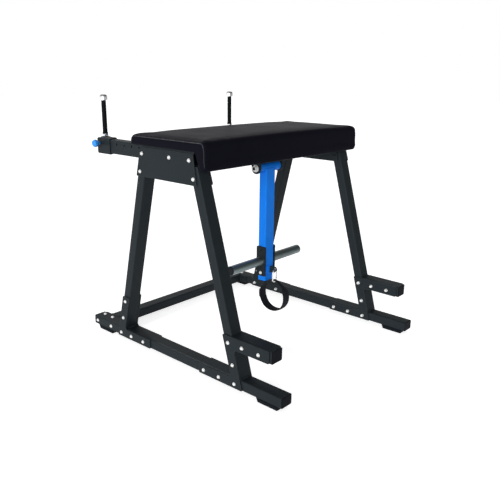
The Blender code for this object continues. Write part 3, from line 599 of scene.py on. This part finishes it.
gusset_bolts = on_legs(GUSSET_HOLES) + [(REAR + GUSSET_MIDDLE, GUSSET_ROW)]
plate_bolts = on_legs(FRONT_HOLES) + on_legs(REAR_HOLES)
plate_bolts += [(REAR + y, BASE_ROW) for y in BASE_BOLTS]
plate_bolts += [(REAR + y, STEP_ROW) for y in STEP_BOLTS]
beam_bolts = [(BEAM_Y - BEAM_BOLT_OUT, BEAM_BOLT_Z), (BEAM_Y + BEAM_BOLT_OUT, BEAM_BOLT_Z)]
cross_bolts = [(CROSS_Y - CROSS_BOLT_OUT, CROSS_BOLT_Z), (CROSS_Y + CROSS_BOLT_OUT, CROSS_BOLT_Z)]
cross_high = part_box("cross_tube")[1]
beam_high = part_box("pad_beam")[1]
for side, s in SIDES:
    outer_x = side_x("gusset_outer_" + side, s, max)
    inner_x = side_x("gusset_inner_" + side, s, min)
    tube_x = side_x("base_tube_" + side, s, max)
    beam_x = s * (beam_high.x - PLATE)
    cross_x = s * (cross_high.x - PLATE)
    heads = [facing(outer_x, y, z, s) for y, z in gusset_bolts + plate_bolts]
    heads += [facing(tube_x, y, z, s) for y, z in cross_bolts]
    heads += [Matrix.Translation((s * CORNER_X, REAR + y, BASE_TOP)) for y in CORNER_BOLTS]
    ends = [facing(inner_x, y, z, -s) for y, z in plate_bolts]
    dark = [facing(beam_x, y, z, -s) for y, z in beam_bolts]
    dark += [facing(cross_x, y, z, -s) for y, z in cross_bolts]
    for y, z in gusset_bolts:
        on_flange = abs(y - BEAM_Y) < BEAM_FLANGE_HALF and z > BEAM_FLANGE_LOW
        dark.append(facing(beam_x if on_flange else inner_x, y, z, -s))
    strew(head, heads, "plate_bolts_" + side, bright_zinc, "frame")
    strew(nut, ends, "plate_nuts_" + side, bright_zinc, "frame")
    strew(nut, dark, "black_nuts_" + side, black_coat, "frame")

# Welds
# Beads of weld metal laid by hand where tubes and plates meet, under the same coat:
# each is a row of overlapping ripples, as the torch leaves them
BEAD_R = 0.0026
BEAD_FLAT = 0.62
BEAD_PITCH = 0.0021
ARM_Z = 1.001
LEG_X = 0.546
LEG_SEAM_HALF = 0.029
ARM_SEAM_HALF = 0.026
TUBE_HALF = 0.035
TUBE_DEEP = 0.050
TUBE_FLAT = 0.030
LUG_FACES = (0.0822, 0.0902)
LUG_HALF = 0.027
bpy.ops.object.select_all(action="DESELECT")
bpy.ops.mesh.primitive_uv_sphere_add(segments=10, ring_count=6, radius=BEAD_R)
ripple = bpy.context.object
edit_on(ripple)
bpy.ops.mesh.select_all(action="SELECT")
bpy.ops.transform.resize(value=(1.0, 1.0, BEAD_FLAT), center_override=(0, 0, 0))
edit_off()
settle(ripple, "ripple", black_coat, 60)


def along(points):
    """Places a pitch apart on a path, each turned to face along it."""
    places = []
    for start, stop in zip(points, points[1:]):
        step = stop - start
        count = max(1, round(step.length / BEAD_PITCH))
        turn = step.to_track_quat("Z", "Y").to_matrix().to_4x4()
        places += [Matrix.Translation(start + step * (k / count)) @ turn for k in range(count)]
    return places


def ring(x, y, z, radius, first=0, last=360, steps=24):
    """An arc round the X axis through a point, from one angle to another in degrees."""
    turns = [math.radians(first + (last - first) * k / steps) for k in range(steps + 1)]
    return [Vector((x, y + radius * math.cos(a), z + radius * math.sin(a))) for a in turns]


def across_tube(x, y, z, half):
    """A straight seam along X."""
    return [Vector((x - half, y, z)), Vector((x + half, y, z))]


def along_tube(x, y, z, half):
    """A straight seam along Y."""
    return [Vector((x, y - half, z)), Vector((x, y + half, z))]


def round_tube(x, y, low, high):
    """The closed seam round a tube's end, cut across at its corners."""
    corner = TUBE_HALF - TUBE_FLAT
    outline = (
        (-TUBE_FLAT, low), (TUBE_FLAT, low), (TUBE_HALF, low + corner), (TUBE_HALF, high - corner),
        (TUBE_FLAT, high), (-TUBE_FLAT, high), (-TUBE_HALF, high - corner), (-TUBE_HALF, low + corner),
        (-TUBE_FLAT, low),
    )
    return [Vector((x, y + out, z)) for out, z in outline]


def under_tube(x, y, low, high):
    """The seam down one side of a tube's end, under it and up the other side."""
    corner = TUBE_HALF - TUBE_FLAT
    outline = (
        (-TUBE_HALF, high), (-TUBE_HALF, low + corner), (-TUBE_FLAT, low),
        (TUBE_FLAT, low), (TUBE_HALF, low + corner), (TUBE_HALF, high),
    )
    return [Vector((x, y + out, z)) for out, z in outline]


frame_beads = []
beam_low_z = beam_high.z - TUBE_DEEP
for side, s in SIDES:
    for leg in (REAR_LEG, FRONT_LEG):
        for face in (0, 1):
            base_y = leg_y(leg, BASE_TOP, face)
            arm_y = leg_y(leg, ARM_Z, face)
            frame_beads += along(across_tube(s * LEG_X, base_y, BASE_TOP, LEG_SEAM_HALF))
            frame_beads += along(across_tube(s * LEG_X, arm_y, ARM_Z, ARM_SEAM_HALF))
    frame_beads += along(round_tube(s * (cross_high.x - PLATE), CROSS_Y, BASE_TOP - TUBE_DEEP, BASE_TOP))
    frame_beads += along(under_tube(s * (beam_high.x - PLATE), BEAM_Y, beam_low_z, beam_high.z - PLATE))
    for x in LUG_FACES:
        frame_beads += along(along_tube(s * x, BEAM_Y, beam_low_z, LUG_HALF))
strew(ripple, frame_beads, "frame_welds", black_coat, "frame")

# Pad board
# Birch plywood sawn square under the foam: the cover is stapled to its underside, and
# it is screwed down to the frame
ply = coat("plywood", (0.36, 0.25, 0.14), (0.45, 0.33, 0.2), rough=0.7, shine=0.25,
           bump=0.00015, fine=250.0, edge_width=0.001, edge_amount=0.6)
dress(ply, "pad_board")

# Pivot
# A zinc-plated bolt and nut through two lugs of the beam, turning in moulded flanged
# bushes; a black disc over the bolt's hexagon socket is painted shade, the socket's dark hollow
PIVOT_Z = 0.932
SHADE_DISC_R = 0.0082
SHADE_DISC_T = 0.003
SHADE_DISC_IN = 0.0008
SHADE_DISC_EDGE = 0.0006
zinc = coat("zinc_plate", (0.96, 0.97, 0.96), (0.97, 0.97, 0.97), rough=0.40, shine=0.5,
            bump=0.00002, fine=700.0, edge_width=0.0008, edge_amount=0.6, metal=0.1)
bush_plastic = coat("bush_plastic", (0.02, 0.02, 0.02), (0.05, 0.05, 0.05),
                    rough=0.4, shine=0.4, bump=0.00002)
dress(zinc, "pivot_bolt", "pivot_nut")
dress(bush_plastic, "bush_left", "bush_right")
LYING = (0, math.pi / 2, 0)
socket_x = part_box("pivot_bolt")[0].x
# A black disc just proud of the socket: painted shade for the dark inside the socket
shade_disc = rod(20, SHADE_DISC_R, SHADE_DISC_T, (socket_x + SHADE_DISC_IN, BEAM_Y, PIVOT_Z), LYING)
round_off(shade_disc, lambda centre, normal: not both_ends(centre, normal), SHADE_DISC_EDGE, 2)
settle(shade_disc, "pivot_socket_shade", cap_plastic)
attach(shade_disc, "frame")

# Pendulum
# Rectangular steel tube welded under a round pivot tube, sprayed in a smooth blue
# powder coat, with a plastic plug in its lower end
PIVOT_TUBE_R = 0.0245
ARM_SIDE_X = 0.0355
ARM_FRONT_HALF = 0.033
ARM_SEAM_DROP = 0.0055
RING_FROM = 194
RING_TO = 346
BLUE = (0.009, 0.235, 0.96)
blue_coat = coat("blue_coat", BLUE, (0.06, 0.34, 0.98), rough=0.36, shine=0.10, bump=0.00003, fine=500.0)
dress(blue_coat, "pendulum_arm")
dress(cap_plastic, "pendulum_cap")
beads = []
for side, s in SIDES:
    seam_y = BEAM_Y + s * PIVOT_TUBE_R
    beads += along(ring(s * ARM_SIDE_X, BEAM_Y, PIVOT_Z, PIVOT_TUBE_R, RING_FROM, RING_TO))
    beads += along(across_tube(0, seam_y, PIVOT_Z - ARM_SEAM_DROP, ARM_FRONT_HALF))
strew(ripple, beads, "pendulum_welds", blue_coat, "pendulum")

# Weight sleeves
# Steel tube with a dark polished plating and a black plug in its tip, welded to a black
# flange plate that is bolted to the pendulum
FLANGE_X = 0.0413
SLEEVE_Z = 0.434
SLEEVE_SEAM_R = 0.0245
SLEEVE_SEAM_OUT = 0.0004
LOW_BOLT = -0.066
HIGH_BOLT = 0.062
PLUG_DEPTH = 0.004
PAINT_EDGE = 0.0002
dark_chrome = coat("dark_chrome", (0.23, 0.28, 0.285), (0.42, 0.47, 0.47), rough=0.40, shine=0.12,
                   bump=0.00001, fine=400.0, edge_width=0.0012, edge_amount=0.9, metal=1.0)


def painted_unless(mat, axis, test, limit, paint):
    """Keep a finish where a distance from the origin passes a test, and paint the rest."""
    tree = mat.node_tree
    place = add_node(tree, "SeparateXYZ")
    away = add_node(tree, "Math", operation="ABSOLUTE")
    tree.links.new(add_node(tree, "TexCoord").outputs["Object"], place.inputs[0])
    tree.links.new(place.outputs[axis], away.inputs[0])
    kept = reckon(tree, test, away.outputs[0], limit)
    colour = tree.nodes["Principled BSDF"].inputs["Base Color"]
    tree.links.new(blend(tree, kept, paint, colour.links[0].from_socket), colour)
    return kept


sleeve_tip = side_x("weight_sleeve_right", 1, max) - PLUG_DEPTH
tree = dark_chrome.node_tree
past_flange = painted_unless(dark_chrome, "X", "GREATER_THAN", FLANGE_X + PAINT_EDGE, BLACK)
before_tip = painted_unless(dark_chrome, "X", "LESS_THAN", sleeve_tip, (0.012, 0.014, 0.019))
plated = reckon(tree, "MULTIPLY", past_flange, before_tip)
tree.links.new(plated, tree.nodes["Principled BSDF"].inputs["Metallic"])
dress(dark_chrome, "weight_sleeve_left", "weight_sleeve_right")
for side, s in SIDES:
    lower = facing(s * FLANGE_X, BEAM_Y, SLEEVE_Z + LOW_BOLT, s)
    upper = facing(s * FLANGE_X, BEAM_Y, SLEEVE_Z + HIGH_BOLT, s)
    seam = along(ring(s * (FLANGE_X + SLEEVE_SEAM_OUT), BEAM_Y, SLEEVE_Z, SLEEVE_SEAM_R))
    strew(head, [lower], "sleeve_bolt_low_" + side, bright_zinc, "pendulum")
    strew(head, [upper], "sleeve_bolt_high_" + side, black_coat, "pendulum")
    strew(ripple, seam, "sleeve_weld_" + side, black_coat, "pendulum")

# Strap eye
# Dark steel plate with a hole for the hook, on a small foot plate that is welded to
# the pendulum and sprayed blue with it
EYE_FOOT = 0.0305
eye_coat = coat("eye_coat", (0.012, 0.028, 0.034), (0.06, 0.08, 0.09),
                rough=0.45, shine=0.2, bump=0.00003, fine=500.0)
painted_unless(eye_coat, "Y", "GREATER_THAN", EYE_FOOT - BEAM_Y, BLUE)
dress(eye_coat, "strap_eye")

# Snap hook
# Polished steel wire bent to a long eye, with a sprung gate that turns on a rivet
chrome = coat("chrome", (0.80, 0.81, 0.82), (0.85, 0.85, 0.85), rough=0.10, shine=0.5,
              bump=0.000005, fine=500.0, edge_width=0.0008, edge_amount=0.5, metal=1.0)
dress(chrome, "snap_hook", "snap_hook_gate")
GATE_AT = (0.016, -0.1535, 0.3404)
RIVET_R = 0.0018
RIVET_LONG = 0.0096
RIVET_DOME = 0.0008
rivet = rod(16, RIVET_R, RIVET_LONG, GATE_AT, (math.pi / 2, 0, 0))
round_off(rivet, both_ends, RIVET_DOME, 3)
settle(rivet, "gate_rivet", chrome)
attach(rivet, "snap_hook")

# Handles
# A powder-coated carriage and post, a chrome collar and cap, a ribbed rubber grip, and a
# moulded blue knob with finger ribs on the pull pin, whose steel shaft takes the same blue finish
PIN_Y = REAR + 1.183
PIN_Z = 1.050
KNOB_R = 0.0168
KNOB_MIDDLE = 0.0105
KNOB_RIBS = 14
RIB_R = 0.0015
RIB_LONG = 0.0125
RIB_DOME = 0.0009
BRACKET_X = 0.5156
BRACKET_Y = REAR + 1.190
BRACKET_HALF = 0.022
BRACKET_SEAMS = (1.0645, 1.0555)
grip_rubber = coat("grip_rubber", (0.004, 0.006, 0.007), (0.012, 0.012, 0.012),
                   rough=0.62, shine=0.06, bump=0.0001, fine=700.0)
knob_blue = coat("knob_blue", (0.035, 0.32, 0.90), (0.15, 0.45, 0.95),
                 rough=0.3, shine=0.3, bump=0.00001, fine=500.0)
rib = rod(10, RIB_R, RIB_LONG, turn=LYING)
round_off(rib, both_ends, RIB_DOME, 3)
settle(rib, "rib", knob_blue, 60)
for side, s in SIDES:
    dress(black_coat, "carriage_" + side)
    dress(chrome, "collar_" + side, "handle_cap_" + side)
    dress(grip_rubber, "grip_" + side)
    dress(knob_blue, "pull_pin_" + side)
    knob_x = side_x("pull_pin_" + side, s, max) - s * KNOB_MIDDLE
    knob = Matrix.Translation((knob_x, PIN_Y, PIN_Z))
    turns = [Matrix.Rotation(2 * math.pi * k / KNOB_RIBS, 4, "X") for k in range(KNOB_RIBS)]
    ribs = [knob @ turn @ Matrix.Translation((0, 0, KNOB_R)) for turn in turns]
    strew(rib, ribs, "knob_ribs_" + side, knob_blue, "pull_pin_" + side)
    seam = []
    for z in BRACKET_SEAMS:
        seam += along(along_tube(s * BRACKET_X, BRACKET_Y, z, BRACKET_HALF))
    strew(ripple, seam, "carriage_weld_" + side, black_coat, "carriage_" + side)
for master in (head, nut, ripple, rib):
    bpy.data.objects.remove(master, do_unlink=True)

# Pad
# Foam moulded over the board and wrapped in grained vinyl, sewn round both ends, pulled
# tight and stapled beneath; the near edge rolls down as a lip over the frame
VOXEL = 0.0083
WELD_GAP = 0.00001
EASE_FACTOR = 0.5
EASE_TURNS = 4
STAPLED_BELOW = -0.6
SWELL_FRAMES = 20
SWELL_CAP = 0.004
PROUD_LOW = Vector((0.002, 0.002, 0.005))
PROUD_HIGH = Vector((0.008, 0.001, 0.002))
vinyl = coat("pad_vinyl", (0.0078, 0.0078, 0.0130), (0.012, 0.012, 0.014), rough=0.44, shine=0.014,
             bump=0.00009, fine=750.0, edge_amount=0.4)
vinyl.node_tree.nodes["Principled BSDF"].inputs["Specular Tint"].default_value = (0.90, 0.90, 1.0, 1)
pad = nodes["pad"].copy()
pad.data = nodes["pad"].data.copy()
pad.parent = None
for key in [k for k in pad.keys() if k.startswith("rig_")]:
    del pad[key]
bpy.context.scene.collection.objects.link(pad)
mesh = bmesh.new()
mesh.from_mesh(pad.data)
bmesh.ops.remove_doubles(mesh, verts=mesh.verts, dist=WELD_GAP)
mesh.to_mesh(pad.data)
mesh.free()
alone(pad)
pad.data.remesh_voxel_size = VOXEL
bpy.ops.object.voxel_remesh()
ease = pad.modifiers.new("ease", "SMOOTH")
ease.factor = EASE_FACTOR
ease.iterations = EASE_TURNS
bpy.ops.object.modifier_apply(modifier="ease")
held = pad.vertex_groups.new(name="stapled")
held.add([v.index for v in pad.data.vertices if v.normal.z < STAPLED_BELOW], 1.0, "REPLACE")
taut = [v.co.copy() for v in pad.data.vertices]
cloth = pad.modifiers.new("swell", "CLOTH")
cloth.settings.quality = 4
cloth.settings.mass = 0.4
cloth.settings.tension_stiffness = 30
cloth.settings.compression_stiffness = 30
cloth.settings.bending_stiffness = 4
cloth.settings.use_pressure = True
cloth.settings.uniform_pressure_force = 4
cloth.settings.vertex_group_mass = "stapled"
cloth.settings.effector_weights.gravity = 0
for step in range(1, SWELL_FRAMES + 1):
    bpy.context.scene.frame_set(step)
graph = bpy.context.evaluated_depsgraph_get()
swollen = [v.co.copy() for v in pad.evaluated_get(graph).data.vertices]
pad.modifiers.remove(cloth)
bpy.context.scene.frame_set(1)
for point, before, after in zip(pad.data.vertices, taut, swollen):
    step = after - before
    if step.length > SWELL_CAP:
        step *= SWELL_CAP / step.length
    point.co = before + step
fine = pad.modifiers.new("fine", "SUBSURF")
fine.levels = 1
fine.render_levels = 1
bpy.ops.object.modifier_apply(modifier="fine")

# The swollen cover is let out to its own size, a little proud of the foam
pad_low, pad_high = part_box("pad")
cover_low = pad_low - PROUD_LOW
cover_high = pad_high + PROUD_HIGH
for axis in range(3):
    least = min(v.co[axis] for v in pad.data.vertices)
    most = max(v.co[axis] for v in pad.data.vertices)
    stretch = (cover_high[axis] - cover_low[axis]) / (most - least)
    for point in pad.data.vertices:
        point.co[axis] = cover_low[axis] + (point.co[axis] - least) * stretch
settle(pad, "pad_cover", vinyl, 60)
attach(pad, "frame")
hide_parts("pad")

# Piping runs round both ends, laid on the cover from under the far edge to the lip
SEAM_IN = 0.0075
SEAM_R = 0.0021
PIPING_SHADED_BELOW = 1.088
LOOK_FROM = 0.1

# A rise or fall has its first height, its step and its count; a bend, how far in and how
# far down its middle lies; the top, how far in it starts at both edges, and its count
FAR_RISE = (1.080, 0.006, 5)
FAR_BEND = (0.022, 0.030)
TOP_SPAN = (0.030, 0.028, 25)
NEAR_BEND = (0.026, 0.032)
LIP_FALL = (1.075, 0.009, 9)
# The piping is light grey along the top and painted vinyl-dark below a set height: the grey is a painted
# highlight on the end's top edge, the dark a painted shade down the sides
piping = coat("piping", (0.030, 0.031, 0.034), (0.05, 0.05, 0.054), rough=0.34, shine=0.30,
              bump=0.00002, fine=750.0, edge_width=0.0004, edge_amount=0.5)
painted_unless(piping, "Z", "GREATER_THAN", PIPING_SHADED_BELOW, (0.008, 0.008, 0.012))


def look(x, y, z, aim):
    """The point of the cover met by a straight look from outside towards a point, if any."""
    hit, point, normal, face = pad.ray_cast(Vector((x, y, z)) - aim * LOOK_FROM, aim)
    return [point] if hit else []


def look_round(x, y, z, first):
    """Points round an edge that runs along X, in quarters of its bend of 90 degrees."""
    points = []
    for k in range(1, 4):
        angle = math.radians(first + 90 * k / 4)
        points += look(x, y, z, -Vector((0, math.cos(angle), math.sin(angle))))
    return points


for side, s in SIDES:
    end_x = (cover_high.x if s > 0 else cover_low.x) - s * SEAM_IN
    route = []
    start, rise, count = FAR_RISE
    for k in range(count):
        route += look(end_x, cover_high.y, start + rise * k, Vector((0, -1, 0)))
    route += look_round(end_x, cover_high.y - FAR_BEND[0], cover_high.z - FAR_BEND[1], 0)
    far_in, near_in, count = TOP_SPAN
    reach = cover_high.y - cover_low.y - far_in - near_in
    for k in range(count):
        y = cover_high.y - far_in - reach * k / (count - 1)
        route += look(end_x, y, cover_high.z, Vector((0, 0, -1)))
    route += look_round(end_x, cover_low.y + NEAR_BEND[0], cover_high.z - NEAR_BEND[1], 90)
    start, fall, count = LIP_FALL
    for k in range(count):
        route += look(end_x, cover_low.y, start - fall * k, Vector((0, 1, 0)))
    line = bpy.data.curves.new("seam", "CURVE")
    line.dimensions = "3D"
    line.bevel_depth = SEAM_R
    line.bevel_resolution = 3
    line.use_fill_caps = True
    spline = line.splines.new("POLY")
    spline.points.add(len(route) - 1)
    for place, point in zip(spline.points, route):
        place.co = (*point, 1)
    seam = bpy.data.objects.new("seam", line)
    bpy.context.scene.collection.objects.link(seam)
    alone(seam)
    bpy.ops.object.convert(target="MESH")
    settle(seam, "pad_seam_" + side, piping, 60)
    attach(seam, "frame")

# The hem: the cover's edge folded under the board and stapled to it, with small puckers
PAD_UNDER = 1.0693
HEM_X = 0.495
HEM_W = 0.026
HEM_T = 0.0009
HEM_AT = (("near", REAR + 0.535), ("far", REAR + 0.913))
PUCKER_OUT = 0.0016
PUCKER_DOWN = 0.0006
PUCKER_TURNS = 140
PUCKER_DRIFT = 31
PUCKER_SWAY = 2
STAPLES = 23
STAPLE_R = 0.0006
STAPLE_LONG = 0.011
STAPLE_ROUND = 0.0004
STAPLE_IN = 0.02
STAPLE_LEAN = 0.25
STAPLE_VARIES = 7.3
staples = []
for name, middle in HEM_AT:
    bpy.ops.object.select_all(action="DESELECT")
    bpy.ops.mesh.primitive_grid_add(x_subdivisions=90, y_subdivisions=6, size=1)
    hem = bpy.context.object
    edit_on(hem)
    bpy.ops.mesh.select_all(action="SELECT")
    bpy.ops.transform.resize(value=(2 * HEM_X, HEM_W, 1), center_override=(0, 0, 0))
    edit_off()
    for point in hem.data.vertices:
        drift = PUCKER_SWAY * math.sin(point.co.x * PUCKER_DRIFT)
        pucker = 0.5 + 0.5 * math.sin(point.co.x * PUCKER_TURNS + drift)
        edge_share = abs(point.co.y) / (HEM_W / 2)
        outward = math.copysign(PUCKER_OUT * pucker * edge_share, point.co.y)
        point.co.y += outward + middle
        point.co.z = PAD_UNDER - HEM_T / 2 - PUCKER_DOWN * pucker * edge_share
    wall = hem.modifiers.new("wall", "SOLIDIFY")
    wall.thickness = HEM_T
    wall.offset = 0
    bpy.ops.object.modifier_apply(modifier="wall")
    settle(hem, "pad_hem_" + name, vinyl, 60)
    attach(hem, "frame")
    for k in range(STAPLES):
        x = (HEM_X - STAPLE_IN) * (2 * k / (STAPLES - 1) - 1)
        lean = Matrix.Rotation(STAPLE_LEAN * math.sin(STAPLE_VARIES * k), 4, "Z")
        place = Matrix.Translation((x, middle, PAD_UNDER - HEM_T - STAPLE_R))
        staples.append(place @ lean @ Matrix.Rotation(math.pi / 2, 4, "Y"))
staple = rod(8, STAPLE_R, STAPLE_LONG)
round_off(staple, both_ends, STAPLE_ROUND, 2)
settle(staple, "staple", zinc, 60)
strew(staple, staples, "pad_staples", zinc, "frame")
bpy.data.objects.remove(staple, do_unlink=True)

# Ankle strap
# One loop of 50 mm nylon webbing, folded narrow where it rides the hook's wire, with
# its ends lapped and sewn by a boxed stitch
STRAP_W = 0.050
STRAP_T = 0.0036
STRAP_LOW = 0.164
STRAP_TOP_IN = 0.002

# Half of the loop's outline from its top: how far out, and the share of its height
GUIDE = (
    (0.0, 1.0), (0.020, 0.965), (0.052, 0.850), (0.074, 0.700), (0.0825, 0.520),
    (0.077, 0.310), (0.056, 0.120), (0.028, 0.025), (0.0, 0.0),
)
STEPS_BETWEEN = 12
hook_low, hook_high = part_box("snap_hook")
strap_y = (hook_low.y + hook_high.y) / 2
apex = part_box("strap")[1].z - STRAP_TOP_IN
guide = [Vector((y, STRAP_LOW + z * (apex - STRAP_LOW))) for y, z in GUIDE]
guide += [Vector((-p.x, p.y)) for p in reversed(guide[1:-1])]


def closed_curve(points, per):
    """A smooth closed curve through the points, with some steps for each."""
    curve = []
    count = len(points)
    for i in range(count):
        p0, p1, p2, p3 = (points[(i + k - 1) % count] for k in range(4))
        for j in range(per):
            t = j / per
            even = 2 * p1 + (p2 - p0) * t + (2 * p0 - 5 * p1 + 4 * p2 - p3) * t * t
            curve.append(0.5 * (even + (3 * p1 - p0 - 3 * p2 + p3) * t ** 3))
    return curve


# The weave: threads crossing at a pitch along and across the webbing, in its own UV map; the raised threads
# are painted lighter, a painted highlight on them
WEAVE_PITCH = 0.0014
WEAVE_RELIEF = 0.00025
webbing = coat("webbing", (0.0135, 0.0145, 0.0195), (0.02, 0.02, 0.02),
               rough=0.8, shine=0.15, bump=0.0001, fine=800.0)
tree = webbing.node_tree
skin = tree.nodes["Principled BSDF"]
spread = add_node(tree, "SeparateXYZ")
tree.links.new(add_node(tree, "UVMap", uv_map="weave").outputs[0], spread.inputs[0])
threads = []
for axis in ("X", "Y"):
    wave = add_node(tree, "Math", operation="SINE")
    tree.links.new(reckon(tree, "MULTIPLY", spread.outputs[axis], 2 * math.pi / WEAVE_PITCH), wave.inputs[0])
    threads.append(wave.outputs[0])
over = reckon(tree, "MULTIPLY", *threads)
raised = add_node(tree, "Bump", Strength=1.0, Distance=WEAVE_RELIEF)
tree.links.new(over, raised.inputs["Height"])
tree.links.new(skin.inputs["Normal"].links[0].from_socket, raised.inputs["Normal"])
tree.links.new(raised.outputs[0], skin.inputs["Normal"])
# The lighter colour on the raised threads is a painted highlight
under_threads = skin.inputs["Base Color"].links[0].from_socket
tree.links.new(blend(tree, over, under_threads, (0.026, 0.027, 0.035)), skin.inputs["Base Color"])

path = closed_curve(guide, STEPS_BETWEEN)
run = [0.0]
for before, after in zip(path, path[1:] + path[:1]):
    run.append(run[-1] + (after - before).length)
AROUND = 14
LAP_FROM = 0.064
LAP_TO = 0.112
LAP_CLEAR = 0.0004
lap = [i for i, p in enumerate(path) if p.x > 0 and apex - LAP_TO < p.y < apex - LAP_FROM]
FOLDS_FROM = 0.060
FOLDS_OVER = 0.045
FOLDED_HALF = 0.0085
CUP_DEEP = 0.0022
CUP_LEVEL = 0.4
WEB_EDGE = 0.0009


def web_place(i, share, lift):
    """A point of the webbing: place on its path, share of its half width, lift off it."""
    p = path[i % len(path)]
    heading = (path[(i + 1) % len(path)] - path[i % len(path) - 1]).normalized()
    outward = Vector((-heading.y, heading.x))
    rise = max(0.0, min(1.0, (p.y - (apex - FOLDS_FROM)) / FOLDS_OVER))
    half = STRAP_W / 2 + (FOLDED_HALF - STRAP_W / 2) * rise * rise * (3 - 2 * rise)
    cup = lift - CUP_DEEP * (share * share - CUP_LEVEL) * (1 - rise)
    flat_p = p + outward * cup
    return Vector((half * share, strap_y + flat_p.x, flat_p.y)), half * share


def lay_web(mesh, weave, places, lift, ends_meet):
    """Faces along some places of the path, with the weave's own coordinates on them."""
    rows = []
    for i in places:
        row = []
        for k in range(AROUND):
            point, aside = web_place(i, 1 - 2 * k / (AROUND - 1), lift)
            row.append((mesh.verts.new(point), aside))
        rows.append(row)
    pairs = list(zip(rows, rows[1:], places))
    if ends_meet:
        pairs.append((rows[-1], rows[0], places[-1]))
    for one, two, i in pairs:
        for k in range(AROUND - 1):
            corners = ((one[k], run[i]), (one[k + 1], run[i]), (two[k + 1], run[i + 1]), (two[k], run[i + 1]))
            face = mesh.faces.new([corner[0][0] for corner in corners])
            for loop, corner in zip(face.loops, corners):
                loop[weave].uv = (corner[0][1], corner[1])


mesh = bmesh.new()
weave = mesh.loops.layers.uv.new("weave")
lay_web(mesh, weave, list(range(len(path))), 0.0, True)
lay_web(mesh, weave, lap, STRAP_T + LAP_CLEAR, False)
bmesh.ops.recalc_face_normals(mesh, faces=mesh.faces[:])
data = bpy.data.meshes.new("strap_web")
mesh.to_mesh(data)
mesh.free()
web = bpy.data.objects.new("strap_web", data)
bpy.context.scene.collection.objects.link(web)
alone(web)
wall = web.modifiers.new("wall", "SOLIDIFY")
wall.thickness = STRAP_T
wall.offset = 0
bpy.ops.object.modifier_apply(modifier="wall")
soften = web.modifiers.new("soften", "BEVEL")
soften.width = WEB_EDGE
soften.segments = 2
soften.limit_method = "ANGLE"
bpy.ops.object.modifier_apply(modifier="soften")
settle(web, "strap_web", webbing, 50)
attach(web, "strap")
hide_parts("strap")

# The boxed stitch: a row round the lap's edges and two across its corners
STITCH_LONG = 0.00256
STITCH_R = 0.0004
STITCH_ROUND = 0.0003
STITCH_PROUD = 0.0006
STITCH_LIFT = 1.5 * STRAP_T + STITCH_PROUD
STITCHES = 12
BOX = 0.8
thread = coat("thread", (0.014, 0.014, 0.016), (0.02, 0.02, 0.02), rough=0.55, shine=0.3, bump=0.00002)
stitch = rod(8, STITCH_R, STITCH_LONG)
round_off(stitch, both_ends, STITCH_ROUND, 2)
settle(stitch, "stitch", thread, 60)
first, last = lap[0] + 1, lap[-1] - 1
corners = ((first, -BOX), (last, -BOX), (last, BOX), (first, BOX), (first, -BOX), (last, BOX))
rows = list(zip(corners, corners[1:])) + [((first, BOX), (last, -BOX))]
stitches = []
for (i, one), (j, two) in rows:
    line = []
    for k in range(STITCHES + 1):
        at = i + (j - i) * k / STITCHES
        share = one + (two - one) * k / STITCHES
        lower = web_place(int(at), share, STITCH_LIFT)[0]
        upper = web_place(int(at) + 1, share, STITCH_LIFT)[0]
        line.append(lower.lerp(upper, at - int(at)))
    for start, stop in zip(line, line[1:]):
        turn = (stop - start).to_track_quat("Z", "Y").to_matrix().to_4x4()
        stitches.append(Matrix.Translation((start + stop) / 2) @ turn)
strew(stitch, stitches, "strap_stitches", thread, "strap")
bpy.data.objects.remove(stitch, do_unlink=True)
